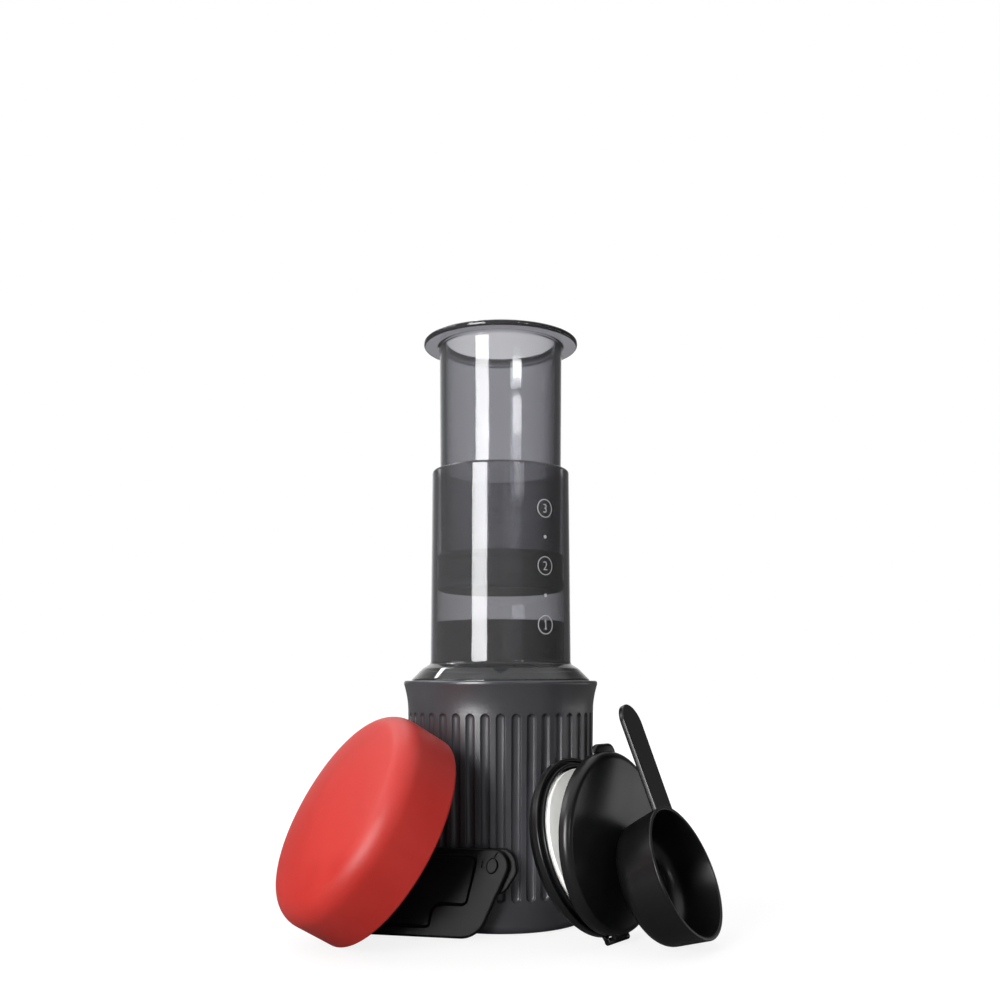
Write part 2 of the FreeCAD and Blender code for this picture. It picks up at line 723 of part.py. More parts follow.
def set_down(shapes, rotation, at, direction, supports, gap):
    """The placement at which the shapes stand on the floor, turned as given, at the spot
    along the direction where the gap to the supports is as asked."""
    turned = [shape.copy() for shape in shapes]
    for shape in turned:
        shape.Placement = FreeCAD.Placement(Vec(0, 0, 0), rotation).multiply(shape.Placement)
    base = at + Vec(0, 0, -min(lowest(shape) for shape in turned))
    group = Part.makeCompound(turned)
    wall = Part.makeCompound(supports)
    reach = 0.0
    for _ in range(40):
        placed = group.copy()
        placed.Placement = FreeCAD.Placement(base + direction * reach, FreeCAD.Rotation())
        spare = placed.distToShape(wall)[0] - gap
        if abs(spare) < 0.005:
            break
        reach -= spare
    return FreeCAD.Placement(base + direction * reach, rotation)


mug_skin = Part.makeCone(size("mug_low_radius"), size("mug_neck_radius"), size("mug_neck_height"))
rim_skin = Part.makeCylinder(size("mug_rim_radius"), size("mug_rim_band") + size("mug_lip_round"),
                             Vec(0, 0, size("mug_height") - size("mug_rim_band") - size("mug_lip_round")))
mug_outside = [mug_skin, rim_skin]
START_OUT = 90.0
TOWARDS_FRONT = Vec(0, -1, 0)

lid.Placement = set_down(
    [lid.Shape],
    leaning(size("lid_azimuth"), size("lid_lean")),
    Vec(size("lid_side"), -START_OUT, 0),
    TOWARDS_FRONT,
    mug_outside,
    size("seat_gap"),
)

case_rotation = leaning(size("case_azimuth"), size("case_lean"))
tray_placement = set_down(
    [tray.Shape],
    case_rotation,
    Vec(size("case_side"), -START_OUT, 0),
    TOWARDS_FRONT,
    mug_outside,
    size("seat_gap"),
)
tray.Placement = tray_placement
tray_inside = size("tray_floor") - size("tray_depth") + size("touch_gap")
stack.Placement = tray_placement.multiply(raised(tray_inside))
top_paper.Placement = tray_placement.multiply(
    raised(tray_inside + size("stack_height") + size("touch_gap"))
)

# The cover closes onto the tray by turning about the hinge pins at the foot
hinge_line = Vec(0, -size("case_radius") - size("hinge_out"), size("seat_gap") / 2)
opening = FreeCAD.Placement(hinge_line, FreeCAD.Rotation(Vec(1, 0, 0), size("case_opening")))
cover.Placement = tray_placement.multiply(opening).multiply(
    FreeCAD.Placement(Vec(0, 0, size("seat_gap")) - hinge_line, FreeCAD.Rotation())
)
# the case stands on its hinge, so both halves are lifted until that is on the floor
lift = -min(lowest(cover.Shape), lowest(tray.Shape))
for piece in (tray, stack, top_paper, cover):
    piece.Placement = raised(lift).multiply(piece.Placement)

scoop_rotation = leaning(size("scoop_azimuth"), size("scoop_lean"), size("scoop_roll"))
scoop.Placement = set_down(
    [scoop.Shape],
    scoop_rotation,
    Vec(size("scoop_side"), -START_OUT * 2, 0),
    TOWARDS_FRONT,
    [tray.Shape, cover.Shape],
    size("seat_gap"),
)

stirrer_rotation = leaning(size("stirrer_azimuth"), size("stirrer_lean"))
stirrer_bearing = bearing(size("stirrer_azimuth"))
stirrer_along = Vec(-stirrer_bearing.y, stirrer_bearing.x, 0)
stirrer_placement = set_down(
    [paddle.Shape, handle_leaf.Shape],
    stirrer_rotation,
    stirrer_bearing * START_OUT + stirrer_along * size("stirrer_side"),
    stirrer_bearing,
    mug_outside,
    size("seat_gap"),
)
for leaf in (paddle, handle_leaf, pin):
    leaf.Placement = stirrer_placement

# Check and write
doc.recompute()
for item in doc.Objects:
    if "Invalid" in item.State or "Error" in item.State:
        raise RuntimeError(f"{item.Name} failed: {item.State}")
parts = [item for item in doc.Objects if item.TypeId == "PartDesign::Body"]
for piece in parts:
    if piece.Shape.isNull() or not piece.Shape.isValid() or len(piece.Shape.Solids) != 1:
        raise RuntimeError(f"{piece.Label} is not one valid solid")

os.makedirs("parts", exist_ok=True)
for piece in parts:
    piece.Shape.exportStep(f"parts/{piece.Label}.step")
    box = piece.Shape.optimalBoundingBox(False, False)
    print(f"{piece.Label:16s} x {box.XMin:7.2f} {box.XMax:7.2f}  y {box.YMin:7.2f} {box.YMax:7.2f}  "
          f"z {box.ZMin:7.2f} {box.ZMax:7.2f}  volume {piece.Shape.Volume:9.1f}")
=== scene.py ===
# %% [markdown]
# A travel coffee press, set out with all its pieces
#
# The press stands in its own fluted mug, and the red lid, the case with the spare papers, the
# scoop and the folding stirrer lean in front of it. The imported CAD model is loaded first: it
# holds every size and every joint, and nothing here moves it. Each step below dresses one
# piece, which then rides on the CAD body that it belongs to. Shapes are drawn in millimetres
# and turned into metres when their mesh is finished.

import math

import bmesh
import bpy
from mathutils import Matrix, Vector


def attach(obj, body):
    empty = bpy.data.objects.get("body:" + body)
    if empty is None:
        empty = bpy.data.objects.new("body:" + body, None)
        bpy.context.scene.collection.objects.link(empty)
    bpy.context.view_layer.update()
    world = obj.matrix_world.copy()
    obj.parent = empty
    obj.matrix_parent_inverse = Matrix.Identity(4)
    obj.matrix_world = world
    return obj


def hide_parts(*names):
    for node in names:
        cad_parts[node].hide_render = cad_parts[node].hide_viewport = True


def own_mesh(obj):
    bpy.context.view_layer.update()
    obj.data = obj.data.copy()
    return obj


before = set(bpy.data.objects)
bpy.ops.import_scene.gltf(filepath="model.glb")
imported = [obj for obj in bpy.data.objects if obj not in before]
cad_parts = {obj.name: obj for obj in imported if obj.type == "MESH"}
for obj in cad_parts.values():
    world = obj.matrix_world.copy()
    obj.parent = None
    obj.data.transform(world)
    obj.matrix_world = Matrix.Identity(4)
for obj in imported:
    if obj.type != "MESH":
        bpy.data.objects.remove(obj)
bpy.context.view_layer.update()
MM = 0.001

# %% [markdown]
# Outlines with rounded corners
#
# Nearly every piece here is moulded plastic, so no corner is knife sharp. A profile is
# written as a short list of corners, each with the radius of its round, and one helper turns
# the list into points. Two extra points close beside every round keep the flat faces next
# to it flat in the shading, which is what a bevel's support loops do.

# %% Rounded outlines
SUPPORT, SUPPORT_SHARE = 0.3, 0.3
LEAST_SPARE = 0.05


def corner_reach(corners, index, closed):
    """How far along both sides the round at a corner goes."""
    corner = corners[index]
    if len(corner) < 3 or (not closed and index in (0, len(corners) - 1)):
        return 0.0
    here = Vector(corner[:2])
    back = Vector(corners[index - 1][:2]) - here
    ahead = Vector(corners[(index + 1) % len(corners)][:2]) - here
    return corner[2] / math.tan(back.angle(ahead) / 2)


def rounded(corners, closed=True, steps=5):
    """Corner points, each with the radius of its round if it has one, as a smooth line."""
    count = len(corners)
    reaches = [corner_reach(corners, index, closed) for index in range(count)]
    line = []
    for index, corner in enumerate(corners):
        here = Vector(corner[:2])
        if reaches[index] == 0:
            line.append(here)
            continue
        back = Vector(corners[index - 1][:2]) - here
        ahead = Vector(corners[(index + 1) % count][:2]) - here
        spare_back = back.length - reaches[index] - reaches[index - 1]
        spare_ahead = ahead.length - reaches[index] - reaches[(index + 1) % count]
        back, ahead = back.normalized(), ahead.normalized()
        start = here + back * reaches[index]
        end = here + ahead * reaches[index]
        half = back.angle(ahead) / 2
        centre = here + (back + ahead).normalized() * corner[2] / math.sin(half)
        if spare_back > LEAST_SPARE:
            line.append(start + back * min(SUPPORT, spare_back * SUPPORT_SHARE))
        for step in range(steps + 1):
            arm = (start - centre).slerp(end - centre, step / steps).normalized()
            line.append(centre + arm * corner[2])
        if spare_ahead > LEAST_SPARE:
            line.append(end + ahead * min(SUPPORT, spare_ahead * SUPPORT_SHARE))
    return line


def arc(centre, radius, start, stop, steps):
    """Points on an arc, from one angle to another in degrees."""
    return [
        Vector(centre)
        + radius * Vector((math.cos(math.radians(turn)), math.sin(math.radians(turn))))
        for turn in (start + (stop - start) * step / steps for step in range(steps + 1))
    ]


square = [(0, 0, 2), (10, 0, 2), (10, 10, 2), (0, 10, 2)]
print("a 10 by 10 square with 2 mm rounds has", len(rounded(square)), "points")

# %% [markdown]
# Turned shapes and flat plates
#
# Two helpers make most of the meshes. A turned shape is a profile carried round the axis, as
# a potter's wheel or a lathe would: it suits the tubes, the lid and the round dishes. A plate
# is an outline with a thickness and a rounded edge, with recesses sunk into its face where it
# has them: it suits the leaves, the tabs and the handle. Both check the signed volume of what
# they made and turn it if its faces point inwards.

# %% Turned shapes
ON_AXIS = 1e-6


def facing_out(shape):
    """The same closed shape, with its faces pointing outwards."""
    if shape.calc_volume(signed=True) < 0:
        bmesh.ops.reverse_faces(shape, faces=shape.faces[:])
    return shape


def turned(line, segments=160, closed=False):
    """A profile of radius and height, carried round the Z axis. Sizes are in mm."""
    shape = bmesh.new()
    turns = [math.tau * step / segments for step in range(segments)]
    rings = []
    for radius, height in line:
        if radius < ON_AXIS:
            rings.append([shape.verts.new((0, 0, height))])
        else:
            rings.append([
                shape.verts.new((radius * math.cos(turn), radius * math.sin(turn), height))
                for turn in turns
            ])
    following = rings[1:] + (rings[:1] if closed else [])
    for lower, upper in zip(rings, following):
        for step in range(segments):
            after = (step + 1) % segments
            corners = [lower[step % len(lower)], lower[after % len(lower)],
                       upper[after % len(upper)], upper[step % len(upper)]]
            distinct = list(dict.fromkeys(corners))
            if len(distinct) > 2:
                shape.faces.new(distinct)
    return facing_out(shape)


# %% Plates
EDGE_STEPS = 3


def inset(outline, amount):
    """A closed outline moved inwards by an amount, each point along its own normal."""
    count = len(outline)
    area = sum(outline[i - 1].cross(outline[i]) for i in range(count))
    side = 1 if area > 0 else -1
    moved = []
    for index, point in enumerate(outline):
        ahead = (outline[(index + 1) % count] - point).normalized()
        along = (ahead + (point - outline[index - 1]).normalized()).normalized()
        moved.append(point + Vector((-along.y, along.x)) * amount * side)
    return moved


def edge_profile(edge, outwards=False):
    """Inset and drop of each step of a rounded edge, from the side wall to the face."""
    steps = []
    for step in range(EDGE_STEPS + 1):
        turn = math.pi / 2 * step / EDGE_STEPS
        steps.append((edge * (1 - math.cos(turn)), edge * (1 - math.sin(turn))))
    steps.append((edge + min(SUPPORT, edge), 0.0))
    return [(-across, drop) for across, drop in steps] if outwards else steps


def plate(outline, low, high, edge, recesses=()):
    """A flat piece from height low to high with rounded edges. Each recess is an outline,
    a depth and the round of its rim, sunk into the upper face."""
    shape = bmesh.new()

    def ring(points, height):
        return [shape.verts.new((point.x, point.y, height)) for point in points]

    def wall(first, second):
        for index in range(len(first)):
            after = (index + 1) % len(first)
            shape.faces.new((first[index], first[after], second[after], second[index]))

    levels = [(across, low + drop) for across, drop in reversed(edge_profile(edge))]
    levels += [(across, high - drop) for across, drop in edge_profile(edge)]
    rings = [ring(inset(outline, across), height) for across, height in levels]
    for first, second in zip(rings, rings[1:]):
        wall(first, second)
    shape.faces.new(rings[0])
    if not recesses:
        shape.faces.new(rings[-1])
    else:
        borders = [rings[-1]]
        for rim, depth, rim_edge in recesses:
            outside = reversed(edge_profile(rim_edge, outwards=True))
            steps = [(across, high - drop) for across, drop in outside]
            steps += [(across, high - depth + drop) for across, drop in edge_profile(rim_edge)]
            rims = [ring(inset(rim, across), height) for across, height in steps]
            for first, second in zip(rims, rims[1:]):
                wall(first, second)
            shape.faces.new(rims[-1])
            borders.append(rims[0])
        edges = []
        for border in borders:
            for index in range(len(border)):
                pair = (border[index - 1], border[index])
                edges.append(shape.edges.get(pair) or shape.edges.new(pair))
        bmesh.ops.triangle_fill(shape, use_beauty=True, use_dissolve=False, edges=edges)
    bmesh.ops.recalc_face_normals(shape, faces=shape.faces[:])
    return facing_out(shape)


# %% [markdown]
# Putting a piece in its place
#
# A finished piece's object stays at the origin, and its place is in its mesh, as with the CAD
# nodes. The loose pieces lean, so each is modelled flat, in its own plain frame, and one
# matrix then turns it: level X, Y up the slope, Z out of its face.

# %% Place, name and dress a piece
SHARP_ANGLE = math.radians(40)


def leaning(place, azimuth, lean, roll=0.0):
    """The frame of a piece that faces an azimuth from the front towards +X, and leans back."""
    turn, rise = math.radians(azimuth), math.radians(lean)
    flat = math.cos(rise)
    out = Vector((math.sin(turn) * flat, -math.cos(turn) * flat, math.sin(rise)))
    level = Vector((math.cos(turn), math.sin(turn), 0))
    axes = Matrix((level, out.cross(level), out)).transposed().to_4x4()
    return Matrix.Translation(Vector(place)) @ axes @ Matrix.Rotation(math.radians(roll), 4, "Z")


def raised(height):
    """The frame of a piece that stands upright on the mug's axis."""
    return Matrix.Translation((0, 0, height))


def moved(shape, place):
    """The same shape, moved within its piece's own frame."""
    bmesh.ops.transform(shape, matrix=place, verts=shape.verts[:])
    return shape


def as_mesh(name, shape):
    """The shape as a new mesh. The shape itself is freed."""
    mesh = bpy.data.meshes.new(name)
    shape.to_mesh(mesh)
    shape.free()
    return mesh


def linked(name, data):
    """A new object in the scene that shows the data."""
    thing = bpy.data.objects.new(name, data)
    bpy.context.scene.collection.objects.link(thing)
    return thing


def triangles(mesh):
    """How many triangles the mesh's faces come to."""
    return sum(len(face.vertices) - 2 for face in mesh.polygons)


def placed_piece(name, mesh, place):
    """The mesh put in its place, in metres, as an object that is smooth but for its edges."""
    mesh.transform(Matrix.Scale(MM, 4) @ place)
    mesh.shade_smooth()
    mesh.set_sharp_from_angle(angle=SHARP_ANGLE)
    print(name, "has", triangles(mesh), "triangles")
    return linked(name, mesh)


def made(name, shapes, place, material):
    """One piece from several shapes, with its finish."""
    whole = bmesh.new()
    for shape in shapes:
        part = as_mesh(name + "_part", shape)
        whole.from_mesh(part)
        bpy.data.meshes.remove(part)
    mesh = as_mesh(name, whole)
    mesh.materials.append(material)
    return placed_piece(name, mesh, place)


def stands_for(piece, body, node):
    """The piece moves with the body and shows in place of the CAD node."""
    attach(piece, body)
    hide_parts(node)


# %% [markdown]
# Shared surface effects
#
# Real moulded plastic is never quite even: the tool leaves a faint grain, and handling
# leaves areas that are a little duller or lighter. Several finishes need both, so each effect
# is one node group with named inputs, placed in every material with its own values. The
# groups put out plain numbers, and the shader stays in the material.

# %% Nodes with their inputs
def node(tree, kind, inputs=None, **settings):
    """A node with its settings. An input is linked to a socket or set to a value."""
    added = tree.nodes.new(kind)
    for label, value in settings.items():
        setattr(added, label, value)
    for label, source in (inputs or {}).items():
        if isinstance(source, bpy.types.NodeSocket):
            tree.links.new(source, added.inputs[label])
        else:
            added.inputs[label].default_value = source
    return added


def maths(tree, operation, *sources):
    """The result of one sum with sockets or numbers."""
    return node(tree, "ShaderNodeMath", dict(enumerate(sources)), operation=operation).outputs[0]


def eased(tree, value, start, stop, low=0.0, high=1.0):
    """A result that runs smoothly from low to high as the value goes from start to stop."""
    spread = node(tree, "ShaderNodeMapRange", {
        "Value": value, "From Min": start, "From Max": stop, "To Min": low, "To Max": high},
        interpolation_type="SMOOTHSTEP")
    return spread.outputs["Result"]


# %% Node groups for grain and handling marks
def effect_group(name, inputs, output):
    """An empty shader group with float sockets, and its input and output nodes."""
    group = bpy.data.node_groups.new(name, "ShaderNodeTree")
    for label, value in inputs.items():
        socket = group.interface.new_socket(label, in_out="INPUT", socket_type="NodeSocketFloat")
        socket.default_value = value
    group.interface.new_socket(output, in_out="OUTPUT", socket_type="NodeSocketFloat")
    return group, group.nodes.new("NodeGroupInput"), group.nodes.new("NodeGroupOutput")


grain_group, grain_in, grain_out = effect_group(
    "Moulded Grain", {"Scale": 900.0, "Roughness": 0.6}, "Height")
where = node(grain_group, "ShaderNodeTexCoord")
noise = node(grain_group, "ShaderNodeTexNoise", {
    "Vector": where.outputs["Object"], "Scale": grain_in.outputs["Scale"],
    "Roughness": grain_in.outputs["Roughness"], "Detail": 3})
grain_group.links.new(noise.outputs["Fac"], grain_out.inputs["Height"])

marks_group, marks_in, marks_out = effect_group(
    "Handling Marks", {"Scale": 26.0, "Low": 0.0, "High": 1.0}, "Level")
where = node(marks_group, "ShaderNodeTexCoord")
noise = node(marks_group, "ShaderNodeTexNoise", {
    "Vector": where.outputs["Object"], "Scale": marks_in.outputs["Scale"],
    "Detail": 5, "Distortion": 0.4})
level = eased(marks_group, noise.outputs["Fac"], 0.32, 0.68,
              marks_in.outputs["Low"], marks_in.outputs["High"])
marks_group.links.new(level, marks_out.inputs["Level"])
print("groups:", grain_group.name, "and", marks_group.name)

# %% [markdown]
# The finishes
#
# Every finish is the same small network: handling marks vary the colour and the roughness by
# a little, and the grain drives a bump. What differs is the numbers, so one function builds
# them all. Colours are written as they show on a screen, in 0 to 255, and turned into the
# linear values that the shader wants.

# %% A finish from a few numbers
FACTOR, COLOUR_A, COLOUR_B, COLOUR_OUT = 0, 6, 7, 2
GRAIN_HEIGHT = 0.0002


def tint(red, green, blue):
    """An sRGB colour as linear values."""
    def linear(value):
        value /= 255
        return value / 12.92 if value <= 0.04045 else ((value + 0.055) / 1.055) ** 2.4
    return (linear(red), linear(green), linear(blue), 1.0)


def finish(name, dark, light, dull, glossy, grain, bump, marks=26.0, **sockets):
    """Colour between dark and light and roughness between glossy and dull, by the marks."""
    material = bpy.data.materials.new(name)
    material.use_nodes = True
    tree = material.node_tree
    handling = node(tree, "ShaderNodeGroup", {"Scale": marks}, node_tree=marks_group)
    shade = node(tree, "ShaderNodeMix", {
        FACTOR: handling.outputs["Level"], COLOUR_A: dark, COLOUR_B: light}, data_type="RGBA")
    dulling = node(tree, "ShaderNodeMapRange", {
        "Value": handling.outputs["Level"], "To Min": glossy, "To Max": dull})
    texture = node(tree, "ShaderNodeGroup", {"Scale": grain}, node_tree=grain_group)
    relief = node(tree, "ShaderNodeBump", {
        "Height": texture.outputs["Height"], "Strength": bump, "Distance": GRAIN_HEIGHT})
    shader = tree.nodes["Principled BSDF"]
    tree.links.new(shade.outputs[COLOUR_OUT], shader.inputs["Base Color"])
    tree.links.new(dulling.outputs["Result"], shader.inputs["Roughness"])
    tree.links.new(relief.outputs["Normal"], shader.inputs["Normal"])
    for label, value in sockets.items():
        shader.inputs[label.replace("_", " ")].default_value = value
    return material


# %% The finishes of this press
mug_finish = finish(
    "mug_satin_plastic", tint(56, 56, 60), tint(63, 63, 67), 0.35, 0.28, 1500, 0.2,
    Specular_IOR_Level=0.85)
black_finish = finish(
    "black_satin_plastic", tint(11, 11, 12), tint(15, 15, 16), 0.32, 0.28, 1800, 0.05)
stirrer_finish = finish(
    "satin_black_stirrer", tint(10, 10, 11), tint(14, 14, 15), 0.36, 0.31, 1800, 0.05,
    Specular_IOR_Level=0.24)
rubber_finish = finish(
    "black_seal_rubber", tint(38, 37, 39), tint(46, 45, 47), 0.60, 0.50, 1200, 0.2)
lid_finish = finish(
    "red_lid_silicone", tint(180, 40, 33), tint(188, 46, 39), 0.52, 0.44, 1300, 0.2,
    Subsurface_Weight=0.15, Subsurface_Scale=0.002)
paper_finish = finish(
    "filter_paper", tint(228, 228, 223), tint(238, 238, 234), 0.95, 0.85, 2600, 0.5, 90.0)
print_finish = finish(
    "white_print", tint(190, 190, 192), tint(205, 205, 207), 0.6, 0.5, 900, 0.1)
coffee_finish = finish(
    "brewed_coffee", tint(20, 9, 5), tint(27, 13, 8), 0.10, 0.05, 400, 0.02)
CLEAR = dict(dull=0.05, glossy=0.02, grain=700, bump=0.015, IOR=1.47, Transmission_Weight=0.95)
chamber_finish = finish("smoky_clear_chamber", tint(232, 232, 235), tint(236, 236, 239), **CLEAR)
plunger_finish = finish("smoky_clear_plunger", tint(236, 236, 240), tint(240, 240, 244), **CLEAR)

# %% Smoke in the clear plastic, painted shade on the chamber and a darker grip ring
SMOKE = (0.20, 0.20, 0.225, 1)


def smoked(material, density):
    """Colour held in the plastic itself: the longer the light's way through, the darker."""
    tree = material.node_tree
    smoke = node(tree, "ShaderNodeVolumeAbsorption", {"Color": SMOKE, "Density": density})
    tree.links.new(smoke.outputs["Volume"], tree.nodes["Material Output"].inputs["Volume"])


def darker_between(material, start, stop, colour):
    """From one height in mm to another the material fades into a darker colour."""
    tree = material.node_tree
    base = tree.nodes["Principled BSDF"].inputs["Base Color"]
    where = node(tree, "ShaderNodeTexCoord")
    parts = node(tree, "ShaderNodeSeparateXYZ", {0: where.outputs["Object"]})
    blend = node(tree, "ShaderNodeMix", {
        FACTOR: eased(tree, parts.outputs["Z"], start * MM, stop * MM),
        COLOUR_A: base.links[0].from_socket, COLOUR_B: colour}, data_type="RGBA")
    tree.links.new(blend.outputs[COLOUR_OUT], base)


smoked(chamber_finish, 262)
smoked(plunger_finish, 205)
# Painted shade: below the top of its flange the chamber turns darker, in place of the mug's dark
# inside seen through it. The plunger turns darker at its grip ring.
darker_between(chamber_finish, 115.4, 113.8, tint(190, 191, 195))
darker_between(plunger_finish, 268.6, 270.2, tint(200, 200, 207))
print("finishes:", len(bpy.data.materials))

# %% [markdown]
# The fluted mug
#
# The cup tapers and carries forty upright flutes with round ends, and its lip flares out.
# Cutting forty grooves with booleans would leave ragged edges. Instead one slice of the wall,
# nine degrees wide, is built with its columns laid along the groove, so that the rim of the
# groove is a true line of the mesh, and Geometry Nodes then repeats the slice round the axis.

# %% One slice of the mug
MUG_HEIGHT, MUG_LOW, MUG_NECK, MUG_RIM = 106.5, 41.5, 43.6, 45.7
NECK_HEIGHT, FLARE_TOP, BASE_ROUND = 93.5, 104.9, 3.0
FLUTES, FLUTE_HALF, FLUTE_DEPTH = 40, 2.1, 1.35
FLUTE_LOW, FLUTE_HIGH = 13.0, 92.2
GROOVE_ROUND, GROOVE_STEEP, GROOVE_BORDER = 3, 0.65, 0.2
ACROSS = (0.0, 0.4, 0.65, 0.8, 0.9, 0.97, 1.0)
SHARES = [-share for share in reversed(ACROSS[1:])] + list(ACROSS)
FLARE_SHARES, FLARE_CURVE = (0.0, 0.15, 0.3, 0.45, 0.6, 0.75, 0.88), 1.7
WELD = 2e-6


def cone_radius(height):
    """Radius of the mug's tapering wall at a height."""
    return MUG_LOW + (MUG_NECK - MUG_LOW) * (height - BASE_ROUND) / (NECK_HEIGHT - BASE_ROUND)


def groove(share):
    """Depth of the groove at a share of its half width: a round floor and steep walls."""
    return FLUTE_DEPTH * max(0.0, 1 - abs(share) ** GROOVE_ROUND) ** GROOVE_STEEP


def mug_rows():
    """Every row as radius, height, half width of the groove, and its distance from the
    groove's end centre."""
    def on_wall(height, width=0, ended=0):
        return (cone_radius(height), height, width, ended)

    base = arc((MUG_LOW - BASE_ROUND, BASE_ROUND), BASE_ROUND, -90, 0, 6)
    rows = [(0.0, 0.0, 0.0, 0.0)] + [(point.x, point.y, 0, 0) for point in base]
    rows += [on_wall(height) for height in (3.4, 8.0, FLUTE_LOW - 0.8, FLUTE_LOW - 0.25)]
    turns = [math.radians(turn) for turn in (90, 78, 64, 50, 35, 18, 0)]
    ends = [(FLUTE_HALF * math.cos(turn), math.sin(turn)) for turn in turns]
    for width, up in ends:
        rows.append(on_wall(FLUTE_LOW + FLUTE_HALF - FLUTE_HALF * up, width, up))
    rows += [on_wall(height, FLUTE_HALF) for height in (30.0, 50.0, 70.0)]
    for width, up in reversed(ends):
        rows.append(on_wall(FLUTE_HIGH - FLUTE_HALF + FLUTE_HALF * up, width, up))
    rows += [on_wall(height) for height in (FLUTE_HIGH + 0.25, FLUTE_HIGH + 0.8)]
    for share in FLARE_SHARES:
        height = NECK_HEIGHT + (FLARE_TOP - NECK_HEIGHT) * share
        rows.append((MUG_NECK + (MUG_RIM - MUG_NECK) * share ** FLARE_CURVE, height, 0, 0))
    lip_and_inside = rounded([
        (MUG_RIM - 0.28, FLARE_TOP - 0.9), (MUG_RIM, FLARE_TOP, 0.9), (MUG_RIM, MUG_HEIGHT, 0.95),
        (42.6, MUG_HEIGHT, 0.4), (42.6, 103.9, 0.3), (41.0, 103.9, 0.4), (41.0, 93.5, 4.0),
        (38.9, 3.2, 5.0), (0, 3.2)], closed=False, steps=4)[1:]
    return rows + [(max(point.x, 0.0), point.y, 0, 0) for point in lip_and_inside]


def slice_columns(radius, width, ended):
    """Angle and depth of every column of one row."""
    half_pitch = radius * math.pi / FLUTES
    plain = width == 0 and ended == 0
    spread = FLUTE_HALF if plain else width
    columns = []
    for share in SHARES:
        away = math.hypot(share * width / FLUTE_HALF, ended)
        depth = 0.0 if plain else groove(min(1.0, away))
        columns.append((share * spread, depth))
    beside = min(spread + GROOVE_BORDER, half_pitch * 0.97)
    columns = [(-half_pitch, 0), (-beside, 0)] + columns + [(beside, 0), (half_pitch, 0)]
    return [(across / radius, depth) for across, depth in columns]


slice_shape = bmesh.new()
slice_rows = []
for radius, height, width, ended in mug_rows():
    if radius < ON_AXIS:
        slice_rows.append([slice_shape.verts.new((0, 0, height * MM))] * (len(SHARES) + 4))
        continue
    row = []
    for turn, depth in slice_columns(radius, width, ended):
        reach = (radius - depth) * MM
        point = (reach * math.cos(turn), reach * math.sin(turn), height * MM)
        row.append(slice_shape.verts.new(point))
    slice_rows.append(row)
for lower, upper in zip(slice_rows, slice_rows[1:]):
    for column in range(len(lower) - 1):
        corners = [lower[column], lower[column + 1], upper[column + 1], upper[column]]
        slice_shape.faces.new(list(dict.fromkeys(corners)))
bmesh.ops.remove_doubles(slice_shape, verts=slice_shape.verts[:], dist=WELD)
slice_mesh = as_mesh("mug_slice", slice_shape)
print("one slice has", len(slice_mesh.polygons), "faces")

# %% [markdown]
# Repeating the slice
#
# The tree puts one point for each flute on the axis, places the slice on every point with a
# turn that follows the point's number, makes the copies real and welds their seams. The
# number of flutes and the finish are inputs of the tree.

# %% Geometry Nodes: a slice repeated round the axis
def geometry_tree(name, inputs):
    """An empty tree with a geometry input and output and the named inputs."""
    tree = bpy.data.node_groups.new(name, "GeometryNodeTree")
    tree.interface.new_socket("Geometry", in_out="OUTPUT", socket_type="NodeSocketGeometry")
    tree.interface.new_socket("Geometry", in_out="INPUT", socket_type="NodeSocketGeometry")
    for label, kind in inputs.items():
        tree.interface.new_socket(label, in_out="INPUT", socket_type=kind)
    return tree, tree.nodes.new("NodeGroupInput"), tree.nodes.new("NodeGroupOutput")


def grown(name, mesh, tree, values):
    """The plain mesh that a tree makes from a mesh, with the tree's named inputs set."""
    seed = linked(name, mesh)
    modifier = seed.modifiers.new(tree.name, "NODES")
    modifier.node_group = tree
    for item in tree.interface.items_tree:
        if item.in_out == "INPUT" and item.name in values:
            modifier[item.identifier] = values[item.name]
    bpy.context.view_layer.update()
    evaluated = seed.evaluated_get(bpy.context.evaluated_depsgraph_get())
    result = bpy.data.meshes.new_from_object(evaluated)
    bpy.data.objects.remove(seed)
    result.name = name
    return result


def copies_at(tree, tree_in, tree_out, points, weld=None, **turn):
    """The tree's geometry on every point, made real, welded if asked, and given its finish."""
    placed = node(tree, "GeometryNodeInstanceOnPoints", {
        "Points": points.outputs[0], "Instance": tree_in.outputs["Geometry"], **turn})
    whole = node(tree, "GeometryNodeRealizeInstances", {"Geometry": placed.outputs[0]})
    if weld:
        whole = node(tree, "GeometryNodeMergeByDistance", {
            "Geometry": whole.outputs[0], "Distance": weld})
    dressed = node(tree, "GeometryNodeSetMaterial", {
        "Geometry": whole.outputs[0], "Material": tree_in.outputs["Finish"]})
    tree.links.new(dressed.outputs[0], tree_out.inputs["Geometry"])


ring_tree, ring_in, ring_out = geometry_tree(
    "Slices Round an Axis", {"Count": "NodeSocketInt", "Finish": "NodeSocketMaterial"})
points = node(ring_tree, "GeometryNodePoints", {"Count": ring_in.outputs["Count"]})
number = node(ring_tree, "GeometryNodeInputIndex")
full_turns = maths(ring_tree, "MULTIPLY", number.outputs["Index"], math.tau)
own_turn = maths(ring_tree, "DIVIDE", full_turns, ring_in.outputs["Count"])
about_axis = node(ring_tree, "ShaderNodeCombineXYZ", {"Z": own_turn})
copies_at(ring_tree, ring_in, ring_out, points, WELD, Rotation=about_axis.outputs[0])

mug_mesh = grown("fluted_mug", slice_mesh, ring_tree, {"Count": FLUTES, "Finish": mug_finish})
mug_shape = bmesh.new()
mug_shape.from_mesh(mug_mesh)
facing_out(mug_shape)
mug_shape.to_mesh(mug_mesh)
open_edges = sum(1 for edge in mug_shape.edges if not edge.is_manifold)
mug_shape.free()
mug_mesh.shade_smooth()
mug = linked("fluted_mug", mug_mesh)
stands_for(mug, "mug", "mug")
print("mug:", triangles(mug_mesh), "triangles,", open_edges, "open edges")

